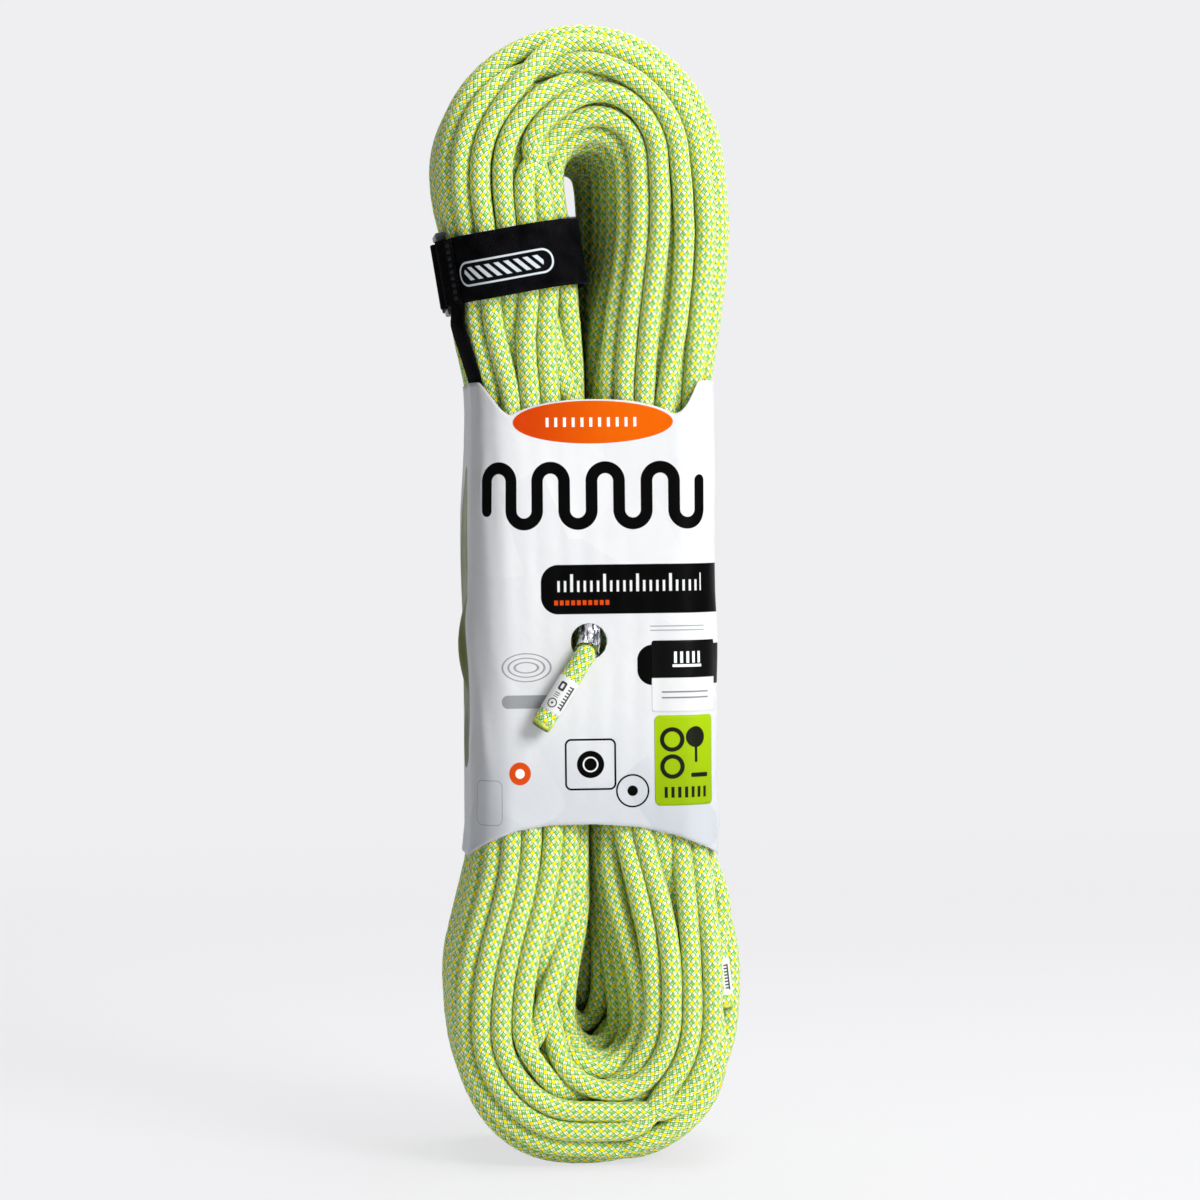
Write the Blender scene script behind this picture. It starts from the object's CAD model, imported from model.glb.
# %% [markdown]
# # A dynamic climbing rope, packed as a hank
# This lesson dresses a finished CAD model of a climbing rope for rendering. The CAD model gives the
# true sizes and the places of all pieces. Blender adds what a CAD model leaves out: sixty metres of
# braided rope that settles into a hank, a creased label, woven webbing and soft light.
# Lengths are written in millimetres, because ropes are sold that way, and turned into metres at the end.

import math

import bmesh
import bpy
import numpy as np
from mathutils import Matrix, Vector


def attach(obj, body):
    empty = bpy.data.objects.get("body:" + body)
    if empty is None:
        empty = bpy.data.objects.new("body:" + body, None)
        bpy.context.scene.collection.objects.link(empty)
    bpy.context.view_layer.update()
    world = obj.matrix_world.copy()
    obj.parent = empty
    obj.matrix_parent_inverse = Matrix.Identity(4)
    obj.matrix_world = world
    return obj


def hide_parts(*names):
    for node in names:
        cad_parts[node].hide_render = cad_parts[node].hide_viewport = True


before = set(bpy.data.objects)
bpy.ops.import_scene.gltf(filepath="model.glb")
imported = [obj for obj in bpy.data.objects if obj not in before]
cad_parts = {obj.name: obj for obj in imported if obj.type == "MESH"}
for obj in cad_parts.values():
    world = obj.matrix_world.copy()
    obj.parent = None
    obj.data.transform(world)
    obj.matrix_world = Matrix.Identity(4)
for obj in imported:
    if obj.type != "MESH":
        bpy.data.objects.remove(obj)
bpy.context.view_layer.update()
MM = 0.001

# %% [markdown]
# ## Camera and stage
# The camera comes first, because everything else is judged through it. It stands a little to the
# left, a little above the middle of the hank, and far enough away that upright edges stay parallel.
# The lens follows from the height that one picture has to hold at that distance.

# %% Camera
CAMERA_AIM = Vector((7.6, 0.0, 256.9)) * MM
CAMERA_FAR, CAMERA_HIGH, CAMERA_TURN, CAMERA_ROLL = 1.80, 0.305, -5.0, -0.6   # metres and degrees
VIEW_HIGH = 0.5583                                           # metres seen from top to bottom

camera = bpy.data.objects.new("camera", bpy.data.cameras.new("camera"))
bpy.context.scene.collection.objects.link(camera)
turn = math.radians(CAMERA_TURN)
eye_point = Vector((CAMERA_AIM.x + math.sin(turn) * CAMERA_FAR, -math.cos(turn) * CAMERA_FAR, CAMERA_HIGH))
sight = CAMERA_AIM - eye_point
look = sight.to_track_quat("-Z", "Y").to_matrix().to_4x4()
camera.matrix_world = Matrix.Translation(eye_point) @ look @ Matrix.Rotation(math.radians(CAMERA_ROLL), 4, "Z")
camera.data.sensor_width = 36
camera.data.lens = 36 * sight.length / VIEW_HIGH
bpy.context.scene.camera = camera
print("lens:", round(camera.data.lens, 1), "mm")

# %% [markdown]
# ## The route of the rope
# The maker winds the rope round two pegs into flat loops, stands the bundle up and wraps a label
# round its waist. So a loop goes down the right leg, round the lower bend, up the left leg and over
# the upper bend. At any place along that route the strands fill a rounded rectangle, the section.
# The sizes below are the ones that the CAD model is made from.

# %% The hank's sizes
ROPE, HALF_ROPE, ROPE_LONG = 9.4, 4.7, 60                    # across, and the length in metres
WAIST_WIDE, TOP_WIDE, BASE_WIDE = 112.4, 132, 134
WAIST_DEEP, BEND_DEEP, LEG_CORNER = 96, 114, 23
TOP_EYE, BASE_EYE = 15, 26
LEG_GAP, BASE_MID, TOP_MID = 0.35, 67, 454
BASE_FULL, WAIST_LOW, WAIST_HIGH, TOP_FULL = 84, 143, 346, 436
EYE_LOW, EYE_HIGH = 128, 372
STRAP_HEIGHT, STRAP_SQUEEZE = 412, 4.5
OUTER_TURNS, FIRST_LANE = 22, 0.085
MIDDLE = 250                                                 # above it a place belongs to the upper bend
TOP_SWAY, SWAY_FROM = -2.0, 425                              # the upper bend leans a little to the left
# Each side of the hank bulges a little more or less than the plain section: height, and how far.
LEFT_EXTRA = ((67, -1.0), (92, 1.5), (110, 1.8), (148, -2.6), (300, -2.8), (330, -4.6), (352, -4.6), (368, -0.8),
              (384, 3.0), (398, 2.2), (412, 0), (430, 0.5), (454, 1.5))
RIGHT_EXTRA = ((67, 3.5), (84, 4.8), (108, 6.5), (124, 6.5), (139, 1.2), (149, 0), (346, 0), (365, 2.4),
               (384, 2.2), (454, 0))


def smooth(x):
    x = np.clip(x, 0, 1)
    return x * x * (3 - 2 * x)


def bell(x):
    return np.where(np.abs(x) < 1, (1 - x * x) ** 2, 0)


def mix(a, b, share):
    return a + (b - a) * share


def unit(v):
    return np.array(v, float) / np.linalg.norm(v)


def bend_share(z):
    """0 at the waist, 1 where a leg has grown to the full size of its bend."""
    upper = smooth((z - WAIST_HIGH) / (TOP_FULL - WAIST_HIGH))
    lower = smooth((WAIST_LOW - z) / (WAIST_LOW - BASE_FULL))
    return np.where(z > (WAIST_LOW + WAIST_HIGH) / 2, upper, lower)


def squeeze(side, z):
    """How far the strap presses the left leg in."""
    return STRAP_SQUEEZE * bell((z - STRAP_HEIGHT + 4) / 30) if side < 0 else 0 * z


def inner_x(z):
    """Half the gap between the legs: nearly none at the waist, and an eye at each bend."""
    upper = mix(LEG_GAP, TOP_EYE / 2, smooth((z - EYE_HIGH) / (TOP_MID - 8 - EYE_HIGH)))
    lower = mix(LEG_GAP, BASE_EYE / 2, smooth((EYE_LOW - z) / (EYE_LOW - BASE_MID)))
    return np.where(z > MIDDLE, upper, lower)


def leg(side, z):
    """Inner point, outer point and half depth of a leg's section at height z."""
    wide = mix(WAIST_WIDE, np.where(z > MIDDLE, TOP_WIDE, BASE_WIDE), bend_share(z)) / 2 - squeeze(side, z)
    deep = mix(WAIST_DEEP, BEND_DEEP, bend_share(z)) / 2 - squeeze(side, z) / 2
    sway = TOP_SWAY * smooth((z - SWAY_FROM) / (TOP_MID - SWAY_FROM))
    extra = np.interp(z, *np.array(LEFT_EXTRA if side < 0 else RIGHT_EXTRA).T)
    return sway + side * inner_x(z), z, sway + side * (wide + extra), z, deep


def lower_bend(angle):
    """The same five numbers at an angle round the bend, from the right leg to the left one."""
    c, s = np.cos(np.radians(angle)), np.sin(np.radians(angle))
    reach = BASE_MID / math.sin(math.radians(540 / 7))
    left_wide, right_wide = BASE_WIDE / 2 + LEFT_EXTRA[0][1], BASE_WIDE / 2 + RIGHT_EXTRA[0][1]
    wide = np.where(c < 0, -left_wide * np.abs(c) ** 0.75, right_wide * c)
    return BASE_EYE / 2 * c, BASE_MID - 19 * s, wide, np.maximum(BASE_MID - reach * s, 0), 0 * c + BEND_DEEP / 2


def upper_bend(angle):
    """And from the left leg over the top to the right one."""
    c, s = np.cos(np.radians(angle)), np.sin(np.radians(angle))
    wide = TOP_WIDE / 2 + LEFT_EXTRA[-1][1] * np.maximum(c, 0)
    return (TOP_SWAY - TOP_EYE / 2 * c, TOP_MID + 7 * s, TOP_SWAY - wide * c, TOP_MID + TOP_WIDE / 2 * s,
            0 * c + BEND_DEEP / 2)


# %% Sections along one loop
# Each run gives the shape it follows, where it starts and ends, its steps, and how many of the CAD
# model's 24 stations it takes up, so that both models advance their lanes at the same places.
RIGHT, LEFT = 1, -1
RUNS = [
    (RIGHT, 215, 143, 10, 1), (RIGHT, 143, 110, 5, 1), (RIGHT, 110, 67, 7, 1), (lower_bend, 0, 180, 35, 7),
    (LEFT, 67, 110, 7, 1), (LEFT, 110, 143, 5, 1), (LEFT, 143, 350, 26, 1), (LEFT, 350, 402, 8, 1),
    (LEFT, 402, 454, 8, 1), (upper_bend, 0, 180, 36, 6), (RIGHT, 454, 402, 8, 1), (RIGHT, 402, 350, 8, 1),
    (RIGHT, 350, 215, 16, 1),
]
sections, stations, station = [], [], 0
for shape, start, end, steps, taken in RUNS:
    share = np.arange(steps) / steps
    value = start + (end - start) * share
    sections.append(np.stack(shape(value) if callable(shape) else leg(shape, value), -1))
    stations.append(station + taken * share)
    station += taken
sections, stations = np.vstack(sections), np.concatenate(stations)
inner, outer, half_deep = sections[:, :2], sections[:, 2:4], sections[:, 4]
half_wide = np.linalg.norm(outer - inner, axis=1) / 2
across = (outer - inner) / (2 * half_wide[:, None])
STEPS = len(stations)
loop_long = np.linalg.norm(np.diff((inner + outer) / 2, axis=0), axis=1).sum()
print(STEPS, "sections in a loop; its middle line is about", round(loop_long), "mm long")

# %% [markdown]
# ## Strands that settle against each other
# The outer turns start in the lanes of the CAD model. The turns inside them start in smaller
# rounded rectangles. Then the strands settle. In every section each pair that is closer than one
# diameter moves apart, every strand stays inside the section's outline, and each strand is kept
# smooth along its length. A gentle outward push lets hidden strands come up between the outer ones
# where the bundle widens, and a seeded, slow sideways drift gives the small disorder of a real hank.

# %% Lanes round a section
def rounded_lane(share, wide, deep, corner):
    """Points at shares of the way round: from the middle of the outer side by the front."""
    side, face, arc = deep - 2 * corner, wide - 2 * corner, math.pi * corner / 2
    whole = 2 * (side + face) + 4 * arc
    way = (share % 1) * whole + side / 2
    u, v, quarter = wide / 2 - corner, deep / 2 - corner, math.pi / 2
    x, y, done = np.zeros_like(way), np.zeros_like(way), np.zeros(way.shape, bool)
    for length, place in [
        (side, lambda g: (wide / 2 + 0 * g, side / 2 - g)),
        (arc, lambda g: (u + corner * np.cos(quarter * g / arc), -v - corner * np.sin(quarter * g / arc))),
        (face, lambda g: (u - g, -deep / 2 + 0 * g)),
        (arc, lambda g: (-u - corner * np.sin(quarter * g / arc), -v - corner * np.cos(quarter * g / arc))),
        (side, lambda g: (-wide / 2 + 0 * g, -v + g)),
        (arc, lambda g: (-u - corner * np.cos(quarter * g / arc), v + corner * np.sin(quarter * g / arc))),
        (face, lambda g: (-u + g, deep / 2 + 0 * g)),
        (arc, lambda g: (u + corner * np.sin(quarter * g / arc), v + corner * np.cos(quarter * g / arc))),
        (side, lambda g: (wide / 2 + 0 * g, side / 2 - g)),
    ]:
        px, py = place(way)
        here = ~done & (way < length)
        x, y, done, way = np.where(here, px, x), np.where(here, py, y), done | here, way - length
    return np.stack([x, y], -1)


def lane_points(share, inset):
    """The share of the way round, at every section in turn, at an inset from the outline."""
    wide, deep = 2 * (half_wide - inset), 2 * (half_deep - inset)
    corner = np.minimum(np.maximum(LEG_CORNER - inset, 1.0), np.minimum(wide, deep) / 2 - 0.01)
    points = [rounded_lane(np.array([f]), w, d, c)[0] for f, w, d, c in zip(share, wide, deep, corner)]
    return np.array(points)


def outer_lanes(k):
    """Lanes round the section at station k: one more where the tail still lies beside the first turn."""
    return OUTER_TURNS + 1 - smooth((k - 3) / 3) + smooth((k - 22.5) / 1.5)


# %% Where each strand starts
INNER_SHELLS = [(27.0, 3, 0.1), (22.6, 12, 0.30), (13.9, 19, 0.62)]     # inset, turns, first lane
strands = []
for inset, turns, first in INNER_SHELLS:
    for i in range(turns):
        strands.append(lane_points(first + (i + stations / 24) / turns, inset))
inner_count = len(strands)
for i in range(OUTER_TURNS + 1):
    strands.append(lane_points(FIRST_LANE + (i + stations / 24) / outer_lanes(stations), HALF_ROPE))

TAIL_START, TAIL_WAY, TAIL_LONG = np.array([58.884, -12.036, 100.054]), unit([0.102778, -0.015058, -0.99459]), 31
on_tail = (stations > 2) & (stations <= 3)                   # the last turn leaves its lane for the tail's line
tail_place = TAIL_START + np.outer((inner[:, 1] - TAIL_START[2]) / TAIL_WAY[2], TAIL_WAY)
strands[-1][on_tail] = np.stack([tail_place[:, 0] - inner[:, 0] - half_wide, tail_place[:, 1]], -1)[on_tail]

LEAD_IN = int(np.argmin(np.where((stations > 12) & (stations < 13), abs(inner[:, 1] - 318), 1e9)))
first_turn = np.stack([-half_wide + 12, 0 * half_deep - 38], -1)      # beside the eye, near the front
first_turn[stations > 22.8] = [-12, -20]
ramp = np.clip((np.arange(STEPS) - LEAD_IN) / 8, 0, 1)[:, None]
first_turn = mix(np.array([-28.3, -43.4]), first_turn, ramp)
strands.insert(0, first_turn)
strands = np.array(strands)
TURNS = len(strands)


def trade(one, other, there_and_back, way=1):
    """Two neighbours cross over each other along one stretch of stations, and back along another."""
    a, b, c, d = there_and_back
    angle = way * math.pi * (smooth((stations - a) / (b - a)) - smooth((stations - c) / (d - c)))
    middle, arm = (strands[one] + strands[other]) / 2, (strands[one] - strands[other]) / 2
    turned = np.stack([arm[:, 0] * np.cos(angle) - arm[:, 1] * np.sin(angle),
                       arm[:, 0] * np.sin(angle) + arm[:, 1] * np.cos(angle)], -1)
    strands[one], strands[other] = middle + turned, middle - turned


FRONT = TURNS - OUTER_TURNS - 1                              # the outer turn nearest the front corner
# Which turns trade places, over which stations they cross and come back, and which way round.
for one, other, stretch, way in [
    (FRONT + 2, FRONT + 3, (0.1, 0.9, 2.0, 8.0), 1), (FRONT + 4, FRONT + 5, (4.0, 9.5, 12.1, 12.9), -1),
    (FRONT + 0, FRONT + 1, (3.0, 9.0, 12.1, 12.9), 1), (FRONT + 6, 27, (0.1, 0.9, 7.5, 11.5), 1),
    (FRONT + 3, FRONT + 4, (12.8, 18.0, 23.1, 23.9), -1), (FRONT + 1, FRONT + 2, (14.5, 20.5, 23.1, 23.9), 1),
    (FRONT + 20, FRONT + 21, (0.1, 0.9, 3.0, 9.0), 1), (FRONT + 15, FRONT + 16, (4.0, 10.0, 12.1, 12.9), 1),
    (FRONT + 17, FRONT + 18, (13.0, 19.0, 23.1, 23.9), 1), (FRONT + 13, FRONT + 14, (15.0, 21.0, 23.1, 23.9), -1),
]:
    trade(one, other, stretch, way)
there = np.ones((TURNS, STEPS), bool)
there[0, :LEAD_IN] = False
there[-1, stations > 3] = False
held = np.zeros_like(there)
held[0, LEAD_IN:LEAD_IN + 4] = True
held[-1, stations <= 3] = True
print(TURNS, "turns:", inner_count, "inside", OUTER_TURNS, "outer ones; the first starts at section", LEAD_IN)

# %% Settling
def eye_lean():
    """How far strands may stand into the eye, at the front and at the back: the eyes lean to one side."""
    z, on_right = inner[:, 1], (stations < 3) | (stations > 21)
    low_turn, top_turn = np.clip((stations - 3) / 7, 0, 1), np.clip((stations - 15) / 6, 0, 1)
    low = smooth((EYE_LOW - z) / 40)
    top = smooth((z - EYE_HIGH) / 28)
    low_right = np.where(stations > 12, on_right, 1 - smooth(low_turn * 1.5))
    low_floor = np.where(stations > 12, 0, np.sin(np.pi * low_turn) ** 2)
    top_right = np.where(stations > 12, smooth(top_turn * 1.6 - 0.5), 0)
    front = low * (4 - 8 * low_right) - 5.5 * top * top_right
    back = low * (27 * low_right + 12 * low_floor * (1 - low_right) + 9 * (1 - low_right)) + 6 * top * top_right
    return front, back


ROOM = np.stack([half_wide, half_deep], -1) - HALF_ROPE
LEAN_FRONT, LEAN_BACK = eye_lean()
CORNER = LEG_CORNER - HALF_ROPE
LOOSE = (0.25 + 0.75 * bend_share(inner[:, 1]))[:, None]      # the label holds the waist tight
LOOSE[(stations > 3) & (stations < 10)] = 1
LOOSE[(stations > 15) & (stations < 21)] = 1
TOUCH = np.where(LOOSE[:, 0] > 0.5, ROPE - 0.05, ROPE - 0.25)
SWELL = np.outer(1 + 1.6 * bell((stations - 5) / 8), [0.006, 0.004])     # outward push across and front to back
DENT = 14.5 * bell((stations - 2.5) / 1.8)                    # in front of the tail, strands lie further in


def stay_inside(spots):
    """Keep strands in their section: in its box, in its round corners, and out of the dent at the tail."""
    more = mix(LEAN_FRONT, LEAN_BACK, smooth((spots[..., 1] + 35) / 60)) / 2
    middle = np.stack([-more, 0 * more], -1)
    room = ROOM - middle
    spots = np.clip(spots - middle, -room, room)
    over = np.abs(spots) - (room - CORNER)
    long = np.linalg.norm(np.maximum(over, 0), axis=-1, keepdims=True)
    pulled = np.sign(spots) * (room - CORNER + over * np.minimum(1, CORNER / np.maximum(long, 1e-6)))
    spots = np.where((over > 0).all(-1, keepdims=True), pulled, spots) + middle
    side = ROOM[:, 0] - DENT * smooth((-spots[..., 1] - 14) / 6)
    return np.stack([np.minimum(spots[..., 0], side), spots[..., 1]], -1)


def push_apart(spots):
    """The move that takes close pairs apart, and how deep the deepest pair overlaps."""
    away = spots[:, None] - spots[None]
    far = np.sqrt((away ** 2).sum(-1)) + 1e-4
    near = np.maximum(TOUCH - far, 0) * (there[:, None] & there[None])
    near[np.arange(TURNS), np.arange(TURNS)] = 0
    return (away * (near / far)[..., None]).sum(1), near.max()


def straighten(spots, share):
    """Move each point towards the middle of its neighbours on the same strand."""
    line, on = spots.reshape(-1, 2), there.reshape(-1)
    middle = line.copy()
    middle[1:-1] = (line[:-2] + line[2:]) / 2
    free = on.copy()
    free[1:-1] &= on[:-2] & on[2:]
    free[[0, -1]] = False
    return np.where(free[:, None], mix(line, middle, share), line).reshape(spots.shape)


def settle(spots, rounds, seed, drift_by):
    """Drift, swell, straighten and push apart, a little less in each round, until the strands lie still."""
    random = np.random.default_rng(seed)
    drift = random.normal(size=(2, TURNS * STEPS))
    window = np.hanning(31)
    window /= np.sqrt((window ** 2).sum())
    drift = np.stack([np.convolve(d, window, "same") for d in drift], -1).reshape(TURNS, STEPS, 2)
    home, spots = spots.astype(np.float32), spots.astype(np.float32)
    for r in range(rounds):
        calm = max(0.0, 1 - 1.3 * r / rounds)
        spots += (drift * drift_by + spots * SWELL) * LOOSE * calm
        spots = straighten(spots, 0.35)
        for _ in range(2):
            move, worst = push_apart(spots)
            spots = stay_inside(spots + 0.5 * move)
        spots = np.where(held[..., None], home, spots)
    return spots, worst


spots, worst = settle(strands, 160, 94, 0.2)
print("deepest overlap left:", round(float(worst), 2), "mm")

# %% From sections to one line
def lengths(points):
    return np.concatenate([[0], np.cumsum(np.linalg.norm(np.diff(points, axis=0), axis=1))])


world = np.empty((TURNS, STEPS, 3))
reach = half_wide + spots[..., 0]
world[..., 0] = inner[:, 0] + across[:, 0] * reach
world[..., 1] = spots[..., 1]
world[..., 2] = inner[:, 1] + across[:, 1] * reach
shown = there.copy()
shown[-1, stations > 2] = False                              # from here on the tail has its own line
hank_line = world[shown]

HOLE = np.array([-2, -48.6, 239.5])                          # middle of the label's hole
CROSSING = HOLE - [0, 0, 1.3]
LEAD_WAY, LEAD_BEND, LEAD_TOP = unit([-0.28, -0.735, -0.616]), 14.5, 318
PIVOT = CROSSING + LEAD_WAY * ((HALF_ROPE + 0.3 + 0.3 + 0.2) / -LEAD_WAY[1])

turn = math.acos(-LEAD_WAY[2])
side = unit([LEAD_WAY[0], LEAD_WAY[1], 0])
lead_foot = CROSSING - LEAD_BEND * (side * (1 - math.cos(turn)) + [0, 0, -math.sin(turn)])
lead = [PIVOT - LEAD_WAY * (HALF_ROPE + 0.3)]
lead += [lead_foot + LEAD_BEND * (side * (1 - math.cos(a)) + [0, 0, -math.sin(a)]) for a in np.linspace(turn, 0, 9)]
lead += [[lead_foot[0], lead_foot[1], z] for z in np.linspace(lead_foot[2] + 8, LEAD_TOP - 6, 8)]
lead = np.array(lead)
lead[:, 1] += 1.9 * smooth(lengths(lead) / 16)                 # smoothing takes this much off the bend again
tail = [TAIL_START + TAIL_WAY * far for far in np.linspace(-4.5, TAIL_LONG, 8)]
route = np.vstack([lead, hank_line, tail])
print("route:", len(route), "points,", round(np.linalg.norm(np.diff(route, axis=0), axis=1).sum() / 1000, 2), "m long")

# %% [markdown]
# ## A small language for node trees
# Materials and Geometry Nodes are both made of nodes. Wiring them by hand takes many lines, so two
# small classes help. `Board.node` adds one node with its settings and sockets. A `Wire` is an output
# on which ordinary maths works: writing `1 - mask` adds the Math node.

# %% Boards and wires
class Wire:
    """An output of a node, on which ordinary maths adds Math nodes."""

    def __init__(self, board, socket):
        self.board, self.socket = board, socket

    def maths(self, operation, *others):
        return self.board.node("ShaderNodeMath", {"operation": operation}, dict(enumerate((self,) + others)))[0]

    def __add__(self, other): return self.maths("ADD", other)
    def __mul__(self, other): return self.maths("MULTIPLY", other)
    def __sub__(self, other): return self.maths("SUBTRACT", other)
    def __truediv__(self, other): return self.maths("DIVIDE", other)
    def __rsub__(self, other): return self.board.number(other).maths("SUBTRACT", self)
    def __gt__(self, other): return self.maths("GREATER_THAN", other)
    __radd__, __rmul__ = __add__, __mul__

    def floor(self): return self.maths("FLOOR")
    def fract(self): return self.maths("FRACT")
    def sine(self): return self.maths("SINE")
    def cosine(self): return self.maths("COSINE")
    def size(self): return self.maths("ABSOLUTE")
    def least(self, other): return self.maths("MINIMUM", other)
    def most(self, other): return self.maths("MAXIMUM", other)
    def root(self): return self.maths("SQRT")


class Board:
    """A node tree that is written like a recipe: one call for each node."""

    def __init__(self, tree):
        self.tree = tree

    def node(self, kind, settings=None, sockets=None):
        node = self.tree.nodes.new(kind)
        for name, value in (settings or {}).items():
            setattr(node, name, value)
        for name, value in (sockets or {}).items():
            if isinstance(value, Wire):
                self.tree.links.new(value.socket, node.inputs[name])
            else:
                node.inputs[name].default_value = value
        return Outputs(self, node)

    def number(self, value):
        return self.node("ShaderNodeMath", {"operation": "ADD"}, {0: value, 1: 0.0})[0]

    def step(self, value, start, end):
        """0 below start, 1 above end, and a soft edge between them."""
        return self.node("ShaderNodeMapRange", {"interpolation_type": "SMOOTHSTEP"},
                         {0: value, 1: start, 2: end, 3: 0.0, 4: 1.0})[0]

    def noise(self, place, scale, detail, dimensions="2D"):
        return self.node("ShaderNodeTexNoise", {"noise_dimensions": dimensions},
                         {"Vector": place, "Scale": scale, "Detail": detail})[0]

    def blend(self, share, first, second, how="MIX"):
        return self.node("ShaderNodeMix", {"data_type": "RGBA", "blend_type": how}, {0: share, 6: first, 7: second})[2]


class Outputs:
    """What a node gives out, by name or by number."""

    def __init__(self, board, node):
        self.board, self.node = board, node

    def __getitem__(self, name):
        return Wire(self.board, self.node.outputs[name])


def srgb(red, green, blue):
    """A colour as a paint chart gives it, 0 to 255, for a socket, which wants linear light."""
    return tuple((c / 12.92 if c <= 0.04045 else ((c + 0.055) / 1.055) ** 2.4)
                 for c in (red / 255, green / 255, blue / 255)) + (1.0,)


def finish_board(name, **constants):
    """A new material, its board and its main shader, with what is the same all over set on the shader."""
    material = bpy.data.materials.new(name)
    material.use_nodes = True
    shader = material.node_tree.nodes["Principled BSDF"]
    for socket, value in constants.items():
        shader.inputs[socket.replace("_", " ")].default_value = value
    return material, Board(material.node_tree), shader


def feed(board, shader, **wires):
    for socket, wire in wires.items():
        board.tree.links.new(wire.socket, shader.inputs[socket.replace("_", " ")])


def bumped(board, height, far, strength=1.0):
    return board.node("ShaderNodeBump", None, {"Strength": strength, "Distance": far, "Height": height})["Normal"]

# %% [markdown]
# ## The sheath's braid
# Forty-eight yarns are braided two by two over the core. On the surface that makes a plain weave of
# pairs, twelve repeats round the rope, at about 40 degrees to it. One set of pairs is yellow and
# green in turn, the other is a pale mint. The pattern is worked out from the braid's own
# coordinates: how far round the rope a point is, and how far along.

# %% Braid finish
REPEATS_ROUND, HALF_REPEAT = 12, 0.00288                     # yellow spots round, and half the step along


def braid_finish():
    material, board, shader = finish_board("braided_sheath", Roughness=0.6, Specular_IOR_Level=0.16, Sheen_Weight=0.03,
                                           Sheen_Roughness=0.5)
    place = board.node("ShaderNodeUVMap", {"uv_map": "braid"})["UV"]
    split = board.node("ShaderNodeSeparateXYZ", None, {0: place})
    around, along = split["X"] * REPEATS_ROUND, split["Y"] / HALF_REPEAT
    right, left = around + along, around - along             # the two ways that the yarns wind
    pair_r, pair_l = (right + 0.5).floor(), (left + 0.5).floor()
    in_r, in_l = right - pair_r, left - pair_l               # -0.5 to 0.5 across a pair
    on_top = 1 - ((pair_r + pair_l) * 0.5).fract() * 2       # 1 where the right-hand pair is on top
    first = 1 - (pair_r * 0.5).fract() * 2
    pi = math.pi
    ridge_r, ridge_l = (in_r * (2 * pi)).sine().size(), (in_l * (2 * pi)).sine().size()
    hill_r, hill_l = (in_l * pi).cosine().root(), (in_r * pi).cosine().root()
    yellow_top = first * on_top
    high_r = hill_r * (0.38 + ridge_r * 0.62)
    high_r = high_r + (hill_r * (0.86 + ridge_r * 0.14) - high_r) * yellow_top
    high = high_r * on_top + hill_l * (0.30 + ridge_l * 0.70) * (1 - on_top)
    wool = board.noise(place, 60.0, 2.0)
    fibre = board.noise(place, 900.0, 3.0)
    green = board.blend(in_r > 0, srgb(98, 190, 66), srgb(196, 244, 160))
    green = board.blend(wool, green, srgb(160, 226, 120))
    yarn = board.blend(first, green, srgb(255, 234, 0))
    mint = board.blend(in_l > 0, srgb(252, 255, 238), srgb(214, 248, 190))
    yarn = board.blend(1 - on_top, yarn, mint)
    shade = board.step(high * (0.86 + fibre * 0.28), 0.10, 0.72)
    colour = board.blend(shade, srgb(30, 104, 4), (1, 1, 1, 1))
    colour = board.blend(1.0, yarn, colour, "MULTIPLY")
    feed(board, shader, Base_Color=colour, Normal=bumped(board, high, 0.00045, 0.8))
    return material


BRAID = braid_finish()

# %% [markdown]
# ## The tube
# Geometry Nodes run a ring along the route. Minimum twist keeps the braid straight on the rope over
# all sixty metres. The last face round each ring needs care: its corners must count on to 1, not
# jump back to 0, or the whole pattern would be squeezed backwards into one face.

# %% A tube builder in Geometry Nodes
def geometry_board(name, *inputs):
    tree = bpy.data.node_groups.new(name, "GeometryNodeTree")
    tree.interface.new_socket("Geometry", in_out="OUTPUT", socket_type="NodeSocketGeometry")
    tree.interface.new_socket("Geometry", in_out="INPUT", socket_type="NodeSocketGeometry")
    keys = {}
    for label, kind in inputs:
        keys[label] = tree.interface.new_socket(label, in_out="INPUT", socket_type="NodeSocket" + kind).identifier
    board = Board(tree)
    return board, board.node("NodeGroupInput"), keys


def finish_geometry(board, shape, material):
    whole = board.node("GeometryNodeRealizeInstances", None, {0: shape})[0]
    whole = board.node("GeometryNodeSetMaterial", None, {0: whole, "Material": material})[0]
    board.node("NodeGroupOutput", None, {0: whole})


def grown(source, board, keys, **values):
    """Run a tree on a mesh, and give back the result as a plain mesh object of the same name."""
    modifier = source.modifiers.new("made", "NODES")
    modifier.node_group = board.tree
    for label, value in values.items():
        modifier[keys[label.replace("_", " ")]] = value
    scene = bpy.context.scene
    if source.name not in scene.collection.objects:
        scene.collection.objects.link(source)
    bpy.context.view_layer.update()
    graph = bpy.context.evaluated_depsgraph_get()
    mesh = bpy.data.meshes.new_from_object(source.evaluated_get(graph), preserve_all_data_layers=True, depsgraph=graph)
    name = source.name
    source.modifiers.clear()
    bpy.data.objects.remove(source)
    made = bpy.data.objects.new(name, mesh)
    scene.collection.objects.link(made)
    return made


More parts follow.
